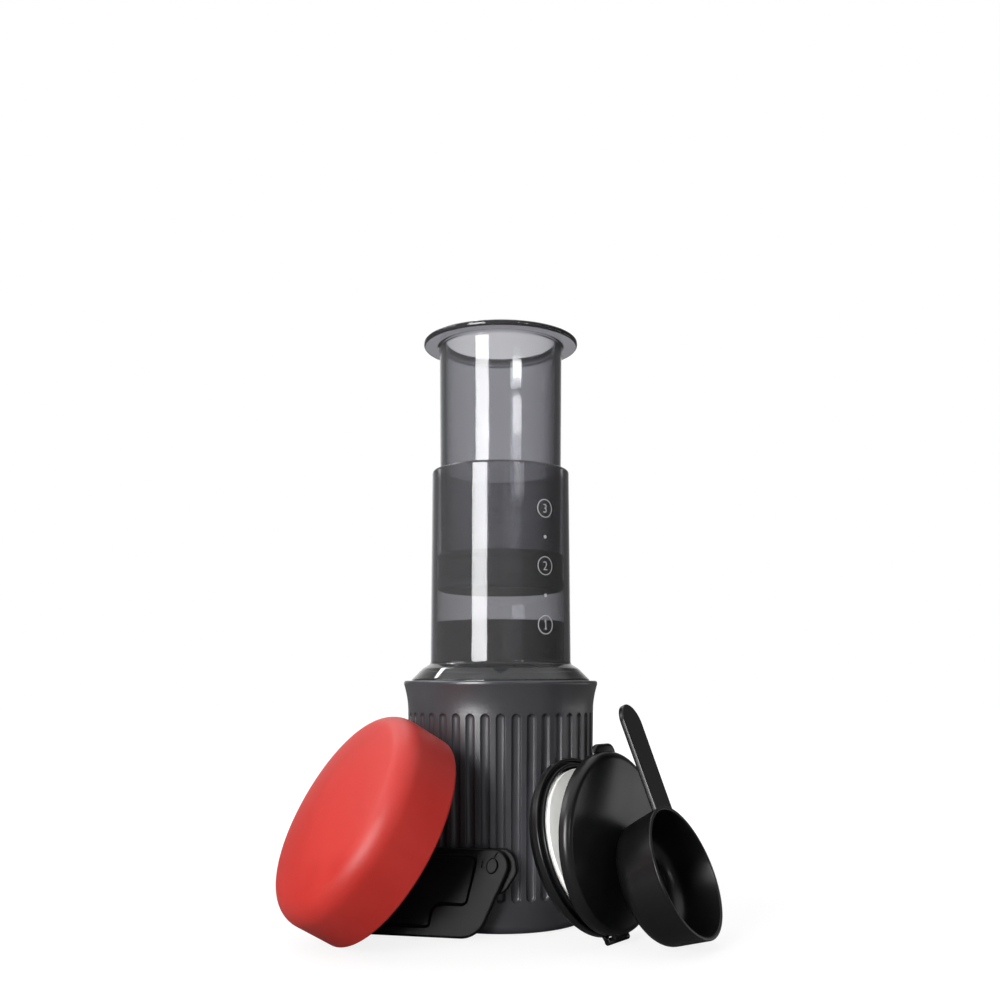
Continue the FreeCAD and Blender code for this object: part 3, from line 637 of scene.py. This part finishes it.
# %% [markdown]
# The clear chamber
#
# The brewing chamber is a straight smoky tube with a shouldered flange that hangs in the
# mug's mouth, and four lugs at its foot for the filter cap. Its wall is a real wall with an
# inner and an outer face, because clear plastic shows both, and the dark line at its edges
# comes from light that travels along inside it.

# %% Chamber
FLANGE_SEAT = 104.2
TUBE, BORE, FLANGE = 33.35, 30.7, 42.2
TUBE_FOOT, TUBE_TOP = -20.2, 103.0
chamber_profile = rounded([
    (BORE, TUBE_FOOT, 0.4), (TUBE, TUBE_FOOT, 0.4), (TUBE, 5.6, 1.0), (35.8, 5.6, 1.0),
    (39.4, 2.8, 0.8), (39.4, 0, 0.3), (FLANGE, 0, 0.5), (FLANGE, 2.8, 1.6), (37.0, 8.0, 2.5),
    (TUBE, 10.2, 1.8), (TUBE, TUBE_TOP, 1.2), (BORE, TUBE_TOP, 1.1)])


def arc_block(inner, outer, width, low, high, azimuth):
    """A block on a tube's wall, following the wall's curve."""
    half = math.degrees(width / 2 / outer)
    outline = arc((0, 0), outer, azimuth - half, azimuth + half, 8)
    outline += arc((0, 0), inner, azimuth + half, azimuth - half, 8)
    return plate(outline, low, high, 0.25)


lugs = [arc_block(33.2, 35.2, 14.0, -17.2, -14.8, 90 * quarter) for quarter in range(4)]
chamber_shapes = [turned(chamber_profile, 192, True), *lugs]
chamber = made("clear_chamber", chamber_shapes, raised(FLANGE_SEAT), chamber_finish)
stands_for(chamber, "chamber", "chamber")

# %% [markdown]
# The plunger and its seal
#
# The plunger is a second clear tube inside the first, slightly tapered, open at the top and
# ending above in a wide grip ring. Its foot is stepped and pushed into a rubber cup whose two
# lips wipe the chamber's wall. Both are turned shapes.

# %% Plunger tube and seal
GRIP_SEAT = 270.2
plunger_profile = rounded([
    (25.5, -117.8, 0.4), (27.5, -117.8, 0.4), (27.5, -104.0, 0.2), (28.9, -104.0, 0.4),
    (30.37, -1.0, 0.5), (31.4, 0, 0.5), (38.15, 0, 0.9), (38.15, 2.6, 0.9), (27.3, 2.6, 1.0)])
plunger_shape = turned(plunger_profile, 192, True)
plunger = made("clear_plunger", [plunger_shape], raised(GRIP_SEAT), plunger_finish)
stands_for(plunger, "plunger", "plunger_tube")

SEAL_TOP = 166.2
seal_profile = rounded([
    (0, -17.6), (30.6, -17.6, 2.2), (30.6, -13.4, 1.2), (29.9, -11.4, 1.5), (29.9, -4.0, 1.5),
    (30.6, -2.0, 1.0), (29.6, 0, 0.6), (27.55, 0, 0.3), (27.55, -13.85, 0.3), (0, -13.85)],
    closed=False)
seal = made("seal_cup", [turned(seal_profile, 160)], raised(SEAL_TOP), rubber_finish)
stands_for(seal, "plunger", "plunger_seal")

# %% [markdown]
# Coffee in the chamber
#
# The photograph shows the press in use: the lowest part of the chamber is dark, up to a level
# line. It is a plain turned body of liquid with a raised rim where it wets the wall. When the
# plunger comes down the liquid is pressed through the filter; here the body rides on the
# chamber and keeps its shape as the plunger moves.

# %% Coffee
COFFEE_LOW, COFFEE_TOP, COFFEE_REACH = 83.8, 134.0, 30.45
coffee_profile = rounded([
    (0, COFFEE_LOW), (COFFEE_REACH, COFFEE_LOW, 0.3), (COFFEE_REACH, COFFEE_TOP, 0.1),
    (29.6, COFFEE_TOP - 0.7, 0.8), (0, COFFEE_TOP - 0.8)], closed=False)
coffee = made("brewed_coffee", [turned(coffee_profile, 128)], raised(0), coffee_finish)
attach(coffee, "chamber")
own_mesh(coffee)

# %% [markdown]
# Printed step marks
#
# Three numbers in rings, with a dot between each pair, are printed on the chamber's side. The
# 2 and 3 come from Blender's own plain font. Each mark is drawn flat, given the thickness of
# a layer of ink, and then wrapped: what was sideways becomes a turn round the axis.

# %% Printed marks
MARK_TURN = math.radians(37.9 - 90)
INK, INK_GAP = 0.06, 0.05
FIRST_STEP, SECOND_STEP, THIRD_STEP = 131.6, 158.6, 185.3
DOT_HEIGHTS, DOT_RADIUS = (172.0, 145.0), 0.85
DIGIT_SIZE, RING_SIZE, RING_LINE = 6.0, 4.15, 0.4


def wrapped(shape, height):
    """A flat drawing laid on the tube's wall."""
    for point in shape.verts:
        turn = MARK_TURN + point.co.x / TUBE
        reach = TUBE + INK_GAP + point.co.z
        point.co = (reach * math.cos(turn), reach * math.sin(turn), height + point.co.y)
    return shape


def inked_ring(radius, line):
    """A thin printed circle."""
    inner, outer = radius - line / 2, radius + line / 2
    return turned([(inner, 0), (outer, 0), (outer, INK), (inner, INK)], 72, True)


def inked_dot(radius):
    """A small printed dot."""
    return turned([(0, 0), (radius, 0), (radius, INK), (0, INK)], 32)


def inked_digit(digit, size):
    """A digit from the built-in font, as a thin closed solid centred on its ring."""
    curve = bpy.data.curves.new("digit", "FONT")
    curve.body = digit
    curve.size = size
    curve.offset = -0.012 * size
    curve.extrude = INK / 2
    curve.resolution_u = 6
    drawn = linked("digit", curve)
    bpy.context.view_layer.update()
    mesh = bpy.data.meshes.new_from_object(drawn)
    bpy.data.objects.remove(drawn)
    shape = bmesh.new()
    shape.from_mesh(mesh)
    bmesh.ops.remove_doubles(shape, verts=shape.verts[:], dist=0.001)
    low = Vector(min(v.co[axis] for v in shape.verts) for axis in range(3))
    high = Vector(max(v.co[axis] for v in shape.verts) for axis in range(3))
    middle = (low + high) / 2
    return facing_out(moved(shape, Matrix.Translation((-middle.x, -middle.y, -low.z))))


def inked_one():
    """The built-in font's 1 is a bare stroke, so this one is drawn, with its flag and foot."""
    outline = [
        (0.75, -2.1), (0.75, -1.72), (0.25, -1.72), (0.25, 2.1), (-0.1, 2.1), (-0.8, 1.65),
        (-0.72, 1.3), (-0.2, 1.55), (-0.2, -1.72), (-0.75, -1.72), (-0.75, -2.1)]
    shape = bmesh.new()
    low = [shape.verts.new((across, up, 0)) for across, up in outline]
    high = [shape.verts.new((across, up, INK)) for across, up in outline]
    for index in range(len(outline)):
        shape.faces.new((low[index - 1], low[index], high[index], high[index - 1]))
    caps = [shape.faces.new(low), shape.faces.new(high)]
    shape.normal_update()
    bmesh.ops.triangulate(shape, faces=caps)
    return facing_out(shape)


marks = [wrapped(inked_one(), FIRST_STEP)]
for digit, height in (("3", THIRD_STEP), ("2", SECOND_STEP)):
    marks.append(wrapped(inked_digit(digit, DIGIT_SIZE), height))
for height in (THIRD_STEP, SECOND_STEP, FIRST_STEP):
    marks.append(wrapped(inked_ring(RING_SIZE, RING_LINE), height))
marks += [wrapped(inked_dot(DOT_RADIUS), height) for height in DOT_HEIGHTS]
printed = made("printed_step_marks", marks, raised(0), print_finish)
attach(printed, "chamber")

# %% [markdown]
# The lid
#
# The travel lid is a soft, thick cap of red silicone with a deep skirt, a round corner and a
# low dome. Its two arcs are chosen so that they run into each other without a kink, because a
# soft highlight shows any break in a curve. It leans on the mug with its opening towards it.

# %% Lid
LID_RADIUS, LID_WALL, LID_SKIRT, LID_CORNER, LID_CROWN = 46.6, 1.8, 28.5, 10.5, 4.8
corner_centre = (LID_RADIUS - LID_CORNER, LID_SKIRT - LID_CORNER)
lid_top = LID_SKIRT + LID_CROWN
rise = lid_top - corner_centre[1]
dome = (corner_centre[0] ** 2 + rise ** 2 - LID_CORNER ** 2) / (2 * (rise - LID_CORNER))
meet = math.degrees(math.acos(corner_centre[0] / (dome - LID_CORNER)))
dome_centre = (0, lid_top - dome)
outer = arc(corner_centre, LID_CORNER, 0, meet, 12) + arc(dome_centre, dome, meet, 90, 10)[1:]
inner = arc(dome_centre, dome - LID_WALL, 90, meet, 10)
inner += arc(corner_centre, LID_CORNER - LID_WALL, meet, 0, 10)[1:]
inside, bead = LID_RADIUS - LID_WALL, LID_RADIUS - LID_WALL - 0.7
rim = rounded([
    (inside, 12.0), (inside, 4.2, 2.0), (bead, 2.1, 1.5), (bead, 0, 0.7), (LID_RADIUS, 0, 0.9),
    (LID_RADIUS, 12.0)], closed=False)
outer[-1], inner[0] = Vector((0, lid_top)), Vector((0, lid_top - LID_WALL))
lid_place = leaning((-47.9, -48.954, 40.357), -62.0, 30.0)
lid = made("red_lid", [turned(outer + inner + rim, 192, True)], lid_place, lid_finish)
stands_for(lid, "lid", "lid")
print("dome radius", round(dome, 1), "mm, meeting the corner at", round(meet, 1), "degrees")

# %% [markdown]
# The filter case
#
# The case is a flat round box in two halves that open like a book on two stub pins at the
# foot. The tray has a double rim: an outer edge, a groove, and a thin ring that the cover
# closes over. The cover is a plain dish with a press tab at the top and a knuckle at the foot.

# %% Case tray
CASE_AZIMUTH, TRAY_LEAN, COVER_LEAN = 52.5, 17.5, 5.5
CASE_RADIUS, RING_RADIUS, CASE_WALL = 37.0, 34.4, 1.5
CASE_INSIDE, RING_INSIDE = CASE_RADIUS - CASE_WALL, RING_RADIUS - CASE_WALL
tray_place = leaning((38.8, -46.668, 38.068), CASE_AZIMUTH, TRAY_LEAN)
tray_profile = rounded([
    (0, -6.4), (RING_RADIUS, -6.4, 1.2), (CASE_RADIUS, -3.0, 1.2), (CASE_RADIUS, 0, 0.5),
    (CASE_INSIDE, 0, 0.4), (CASE_INSIDE, -1.6, 0.3), (RING_RADIUS, -1.6, 0.3),
    (RING_RADIUS, 1.2, 0.45), (RING_INSIDE, 1.2, 0.45), (RING_INSIDE, -4.6, 0.6), (0, -4.6)],
    closed=False, steps=4)
HINGE_OUT, HINGE_RADIUS, HINGE_RISE = 1.6, 1.3, 0.15
EAR_START, EAR_STOP, KNUCKLE_HALF = 4.9, 7.9, 4.82
STUB_RADIUS, STUB_HALF = 0.75, 6.7
hinge_across = -(CASE_RADIUS + HINGE_OUT)


def rod(radius, start, stop, rise, bevel=0.15):
    """A short rod along the hinge line, from one side position to another."""
    corners = [(0, start), (radius, start, bevel), (radius, stop, bevel), (0, stop)]
    profile = rounded(corners, closed=False, steps=2)
    along_x = Matrix.Translation((0, hinge_across, rise)) @ Matrix.Rotation(math.pi / 2, 4, "Y")
    return moved(turned(profile, 32), along_x)


def side_plate(outline, start, stop):
    """A plate that stands across the hinge line, drawn in the case's own Y and Z."""
    shape = plate([Vector(point) for point in outline], start, stop, 0.12)
    upright = Matrix(((0, 0, 1, 0), (1, 0, 0, 0), (0, 1, 0, 0), (0, 0, 0, 1)))
    return moved(shape, upright)


tray_shapes = [turned(tray_profile, 192)]
for start, stop in ((EAR_START, EAR_STOP), (-EAR_STOP, -EAR_START)):
    tray_shapes.append(rod(HINGE_RADIUS, start, stop, HINGE_RISE))
    tray_shapes.append(side_plate(
        [(-35.5, -2.08), (-35.5, -0.3), (-37.05, -0.3), (-37.15, 1.1), (hinge_across, 1.4),
         (hinge_across - 0.65, -0.65)], start, stop))
tray = made("case_tray_dish", tray_shapes, tray_place, black_finish)
stands_for(tray, "filter_case", "case_tray")

# %% Case cover
cover_place = leaning((45.305, -51.660, 39.737), CASE_AZIMUTH, COVER_LEAN)
cover_profile = rounded([
    (0, 3.6), (CASE_INSIDE, 3.6, 1.2), (CASE_INSIDE, 0, 0.4), (CASE_RADIUS, 0, 0.4),
    (CASE_RADIUS, 5.2, 3.0), (0, 5.2)], closed=False, steps=8)
knuckle_side = [(-36.25, 0), (-36.25, 3.12), (hinge_across, 1.3), (hinge_across, 0)]
tab_outline = rounded([(-8.5, 35.0), (8.5, 35.0), (8.5, 40.2, 4.6), (-8.5, 40.2, 4.6)], steps=8)
cover_shapes = [
    turned(cover_profile, 192),
    plate(tab_outline, 0.0, 2.6, 1.1),
    rod(HINGE_RADIUS, -KNUCKLE_HALF, KNUCKLE_HALF, -HINGE_RISE, 0.05),
    rod(STUB_RADIUS, -STUB_HALF, STUB_HALF, -HINGE_RISE),
    side_plate(knuckle_side, -KNUCKLE_HALF, KNUCKLE_HALF),
]
cover = made("case_cover_dish", cover_shapes, cover_place, black_finish)
stands_for(cover, "case_cover", "case_cover")

# %% [markdown]
# The papers
#
# The spare filters are plain discs of soft white paper. A stack is never squared up
# quite true, so a small tree lays one disc on another with a slight random shift, from a
# fixed seed, and the layers show as fine lines at the edge.

# %% Geometry Nodes: a stack of discs
SHEETS, SHEET, SHEET_SHIFT = 15, 6.2 / 15, 0.18
stack_tree, stack_in, stack_out = geometry_tree("Stack of Discs", {
    "Count": "NodeSocketInt", "Step": "NodeSocketVector", "Shift": "NodeSocketFloat",
    "Seed": "NodeSocketInt", "Finish": "NodeSocketMaterial"})
number = node(stack_tree, "GeometryNodeInputIndex")
climb = node(stack_tree, "ShaderNodeVectorMath", {
    0: stack_in.outputs["Step"], "Scale": number.outputs[0]}, operation="SCALE")
low_shift = maths(stack_tree, "MULTIPLY", stack_in.outputs["Shift"], -1)
amount = {}
for axis, offset in (("X", 0), ("Y", 7)):
    own_seed = maths(stack_tree, "ADD", stack_in.outputs["Seed"], offset)
    random = node(stack_tree, "FunctionNodeRandomValue", {
        2: low_shift, 3: stack_in.outputs["Shift"], "Seed": own_seed}, data_type="FLOAT")
    amount[axis] = random.outputs[1]
shift = node(stack_tree, "ShaderNodeCombineXYZ", amount)
spot = node(stack_tree, "ShaderNodeVectorMath", {
    0: climb.outputs[0], 1: shift.outputs[0]}, operation="ADD")
points = node(stack_tree, "GeometryNodePoints", {
    "Count": stack_in.outputs["Count"], "Position": spot.outputs[0]})
copies_at(stack_tree, stack_in, stack_out, points)


def paper_disc(radius, thickness):
    """One round paper with softened edges."""
    corners = [(0, 0), (radius, 0, 0.08), (radius, thickness, 0.08), (0, thickness)]
    return turned(rounded(corners, closed=False, steps=2), 128)


# %% Papers in the case
disc_mesh = as_mesh("paper_disc", paper_disc(31.6, SHEET * 0.94))
stack_mesh = grown("spare_papers", disc_mesh, stack_tree, {
    "Count": SHEETS, "Step": (0.0, 0.0, SHEET), "Shift": SHEET_SHIFT, "Seed": 4,
    "Finish": paper_finish})
stack_place = leaning((35.357, -44.027, 36.700), CASE_AZIMUTH, TRAY_LEAN)
papers = placed_piece("spare_papers", stack_mesh, stack_place)
stands_for(papers, "filter_case", "paper_stack")
top_place = leaning((40.086, -47.655, 38.580), CASE_AZIMUTH, TRAY_LEAN)
top_paper = made("top_paper_sheet", [paper_disc(31.8, 0.4)], top_place, paper_finish)
stands_for(top_paper, "top_paper", "top_paper")
print("papers:", SHEETS, "sheets of", round(SHEET, 2), "mm")

# %% [markdown]
# The scoop
#
# The scoop is a round bowl with a flat handle that starts at the rim and ends in a wide
# rounded paddle. The bowl is a turned shape, and the handle a plate that follows the bowl's
# curve where it joins.

# %% Scoop
SCOOP_RIM, SCOOP_DEPTH, SCOOP_WALL = 27.4, 21.0, 1.6
ROOT_HALF, TIP_REACH, TIP_RADIUS, HANDLE_THICK = 7.8, 64.1, 8.4, 2.4
scoop_place = leaning((75.6, -66.109, 30.0), 59.2, 23.0, -5.3)
inner_depth = SCOOP_DEPTH - SCOOP_WALL
bowl_profile = rounded([
    (0, -SCOOP_DEPTH), (24.4, -SCOOP_DEPTH, 7.5), (SCOOP_RIM, 0, 0.45),
    (SCOOP_RIM - SCOOP_WALL, 0, 0.45), (22.9, -inner_depth, 6.0), (0, -inner_depth)],
    closed=False, steps=8)
root = SCOOP_RIM - SCOOP_WALL / 2
root_turn = math.degrees(math.asin(ROOT_HALF / root))
handle_outline = arc((0, 0), root, 90 + root_turn, 90 - root_turn, 16)
handle_outline += arc((0, TIP_REACH), TIP_RADIUS, 0, 180, 32)
scoop_shapes = [turned(bowl_profile, 160), plate(handle_outline, -HANDLE_THICK, 0, 0.5)]
scoop = made("coffee_scoop", scoop_shapes, scoop_place, black_finish)
stands_for(scoop, "scoop", "scoop")

# %% [markdown]
# The folding stirrer
#
# The stirrer is two leaves on one pin. The wide paddle in front has a sunken face inside a
# raised border, a rounded pad at its lower corner, and an oval boss over the pin with a small
# slot on either side. The narrower handle leaf lies behind it.

# %% Stirrer
stirrer_place = leaning((-2.963, -46.644, 29.324), -12.0, 4.6)
PADDLE_THICK, LEAF_LOW, LEAF_HIGH, PIN_TOP = 2.8, -3.1, -0.3, 3.9
paddle_outline = rounded([
    (-66, 6.8, 12), (-66, -29.4, 12), (-5.8, -29.4, 12), (10.66, 6.8, 6.7)], steps=12)
sunk_outline = rounded([
    (-6.8, 3.4, 2.0), (-61.4, 3.4, 7.4), (-61.4, -25.2, 7.4), (-27.0, -25.2, 1.5),
    (-26.0, -16.0, 5.0), (-11.2, -16.0, 2.5)], steps=8)


def slot_outline(across, up, length, width, turn):
    """A small slot with round ends."""
    half = length / 2 - width / 2
    ends = arc((half, 0), width / 2, -90, 90, 6)
    ends += arc((-half, 0), width / 2, 90, 270, 6)
    spin = Matrix.Rotation(math.radians(turn), 2)
    return [spin @ point + Vector((across, up)) for point in ends]


slots = [slot_outline(1.7, 4.4, 2.6, 0.8, 55), slot_outline(-4.2, 0.4, 2.8, 0.8, 82)]
recesses = [(sunk_outline, 1.6, 0.7)] + [(slot, 1.0, 0.1) for slot in slots]
paddle_shape = plate(paddle_outline, 0, PADDLE_THICK, 0.8, recesses)
paddle = made("stirrer_paddle_leaf", [paddle_shape], stirrer_place, stirrer_finish)
stands_for(paddle, "paddle", "stirrer_paddle")
leaf_outline = rounded([
    (-68, 6.8, 9.4), (-68, -12.2, 9.4), (4.2, -12.2, 8.0), (10.2, -2.6, 5.0), (8.6, 6.8, 6.0)],
    steps=10)
leaf_shape = plate(leaf_outline, LEAF_LOW, LEAF_HIGH, 0.6)
leaf = made("stirrer_handle_leaf", [leaf_shape], stirrer_place, stirrer_finish)
stands_for(leaf, "stirrer", "stirrer_handle")
pin_shaft = rounded([(0, LEAF_LOW), (2.4, LEAF_LOW, 0.2), (2.4, 3.1, 0.1), (0, 3.1)], closed=False)
pin_head = rounded([(0, 3.0), (3.0, 3.0, 0.1), (3.0, PIN_TOP, 0.55), (0, PIN_TOP)], closed=False)
oval = Matrix.Rotation(math.radians(-15), 4, "Z") @ Matrix.Diagonal((0.8, 1.1, 1, 1))
pin = made("stirrer_pin_boss", [turned(pin_shaft, 64), moved(turned(pin_head, 64), oval)],
           stirrer_place, stirrer_finish)
stands_for(pin, "stirrer", "stirrer_pin")

# %% [markdown]
# Pieces that keep their CAD mesh
#
# The drained filter cap and the paper on it sit deep in the mug. Their CAD shapes are already
# right, drains and all, so they only get a finish.

# %% Dress the filter cap and its paper
for name, material in (("filter_cap", black_finish), ("cap_paper", paper_finish)):
    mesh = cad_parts[name].data
    mesh.materials.clear()
    mesh.materials.append(material)
    print(name, "keeps its CAD mesh")

# %% [markdown]
# Floor and surroundings
#
# The object stands on plain white. The floor is a matte plane that keeps the shadows, lifted
# to white for the camera, a little less so close to the object. The world is white wherever
# the camera sees it. For the light that the pieces reflect and let through it is a studio:
# white behind the object and overhead, and dimmer at the sides and in front, where a
# photographer's dark room would be.

# %% Floor
FLOOR_REACH, FLOOR_HEIGHT = 4.0, -0.0003
floor_mesh = bpy.data.meshes.new("floor")
floor_corners = [(-1, -1), (1, -1), (1, 1), (-1, 1)]
floor_mesh.from_pydata(
    [(x * FLOOR_REACH, y * FLOOR_REACH, FLOOR_HEIGHT) for x, y in floor_corners], [],
    [(0, 1, 2, 3)])
floor = linked("floor", floor_mesh)
floor_paint = bpy.data.materials.new("white_floor")
floor_paint.use_nodes = True
tree = floor_paint.node_tree
tree.nodes.remove(tree.nodes["Principled BSDF"])
where = node(tree, "ShaderNodeTexCoord")
away = node(tree, "ShaderNodeVectorMath", {0: where.outputs["Object"]}, operation="LENGTH")
whiteness = eased(tree, away.outputs["Value"], 0.15, 0.45, 0.84, 1.0)
seen = node(tree, "ShaderNodeLightPath")
strength = maths(tree, "MULTIPLY", seen.outputs["Is Camera Ray"], whiteness)
matte = node(tree, "ShaderNodeBsdfDiffuse", {"Color": (0.2, 0.2, 0.2, 1)})
lift = node(tree, "ShaderNodeEmission", {"Strength": strength})
both = node(tree, "ShaderNodeAddShader", {0: matte.outputs[0], 1: lift.outputs[0]})
tree.links.new(both.outputs[0], tree.nodes["Material Output"].inputs["Surface"])
floor_mesh.materials.append(floor_paint)

# %% World
WHITE = (1, 1, 1, 1)
world = bpy.data.worlds.new("studio")
bpy.context.scene.world = world
world.use_nodes = True
tree = world.node_tree
where = node(tree, "ShaderNodeTexCoord")
parts = node(tree, "ShaderNodeSeparateXYZ", {0: where.outputs["Generated"]})
behind = eased(tree, parts.outputs["Y"], -0.1, 0.7, 0.10, 1.0)
sideways = maths(tree, "ABSOLUTE", maths(tree, "ADD", parts.outputs["X"], 0.08))
beside = eased(tree, sideways, 0.15, 0.55, 1.0, 0.13)
overhead = eased(tree, parts.outputs["Z"], 0.5, 0.85, 0.0, 0.95)
brightness = maths(tree, "MAXIMUM", maths(tree, "MULTIPLY", behind, beside), overhead)
room = tree.nodes["Background"]
room.inputs["Color"].default_value = WHITE
tree.links.new(brightness, room.inputs["Strength"])
white = node(tree, "ShaderNodeBackground", {"Color": WHITE})
seen = node(tree, "ShaderNodeLightPath")
choose = node(tree, "ShaderNodeMixShader", {
    0: seen.outputs["Is Camera Ray"], 1: room.outputs[0], 2: white.outputs[0]})
tree.links.new(choose.outputs[0], tree.nodes["World Output"].inputs["Surface"])

# %% [markdown]
# Lamps
#
# The bright upright stripe on both tubes is a tall softbox to the left of the camera, and the
# broken stripe beside it is a high window to the right, in three panes. Their directions and
# heights were worked out from where the stripes sit on the tubes. One light from the left and
# two from behind draw the edges, a low strip and a weak panel lift the right side and the
# front, and a narrow spot falls on the papers in their case.

# %% Lamps
def lamp_at(name, kind, azimuth, distance, height, watts, in_reflections):
    """A lamp at an azimuth from the front towards +X."""
    lamp = bpy.data.lights.new(name, kind)
    lamp.energy = watts
    holder = linked(name, lamp)
    turn = math.radians(azimuth)
    holder.location = (math.sin(turn) * distance, -math.cos(turn) * distance, height)
    holder.rotation_euler = (math.pi / 2, 0, turn)
    holder.visible_glossy = in_reflections
    return lamp, holder


def softbox(name, azimuth, distance, low, high, width, radiance, in_reflections=True):
    """An upright panel that faces the press, from one height to another."""
    middle = (low + high) / 2
    watts = radiance * math.pi * width * (high - low)
    lamp, holder = lamp_at(name, "AREA", azimuth, distance, middle, watts, in_reflections)
    lamp.shape = "RECTANGLE"
    lamp.size, lamp.size_y = width, high - low
    return holder


def aimed(holder, target):
    """Turns a lamp towards a point in the scene, in metres."""
    way = Vector(target) - holder.location
    holder.rotation_euler = way.to_track_quat("-Z", "Y").to_euler()


softbox("left_softbox", -34.5, 1.2, 0.05, 0.70, 0.53, 15.0)
for pane, low, high, radiance in (
        ("top", 0.995, 1.055, 18.0), ("middle", 0.815, 0.940, 7.5), ("low", 0.70, 0.815, 1.8)):
    softbox("right_window_" + pane, 31.0, 3.0, low, high, 0.86, radiance)
softbox("right_side_strip", 97.0, 1.0, 0.01, 0.10, 1.0, 1.9)
side_light = softbox("left_side_light", -84.0, 1.0, 0.62, 1.05, 0.6, 3.6)
aimed(side_light, (-0.05, -0.05, 0.05))
for name, azimuth, height, width in (
        ("back_left_rim", -136.0, 1.1, 0.18), ("back_rim", -169.0, 1.55, 0.2)):
    rim_light = softbox(name, azimuth, 1.1, height, height + 0.3, width, 14.0)
    rim_light.visible_transmission = False
    aimed(rim_light, (0, 0, 0.11))
softbox("front_fill", 20.0, 1.4, 0.10, 0.60, 0.8, 0.9, in_reflections=False)
spot_lamp, spot_holder = lamp_at("paper_light", "SPOT", -4.0, 0.9, 0.10, 26.0, False)
spot_lamp.spot_size = math.radians(4.6)
spot_lamp.spot_blend = 0.9
spot_lamp.shadow_soft_size = 0.01
aimed(spot_holder, (0.026, -0.050, 0.042))

# %% [markdown]
# The camera
#
# The photograph was taken from a little over half a metre, at the height of the mug's rim and
# looking up a little. The lens and the place were found by matching the ellipses of the grip
# ring, the chamber's mouth and the mug's foot.

# %% Camera
CAMERA_PLACE, CAMERA_RISE = (-0.0003, -0.535, 0.105), 9.4
lens = bpy.data.cameras.new("camera")
lens.lens, lens.sensor_width = 40.0, 36.0
lens.clip_start = 0.01
camera = linked("camera", lens)
camera.location = CAMERA_PLACE
camera.rotation_euler = (math.radians(90 + CAMERA_RISE), 0, 0)
bpy.context.scene.camera = camera
bpy.context.scene.view_settings.view_transform = "Standard"
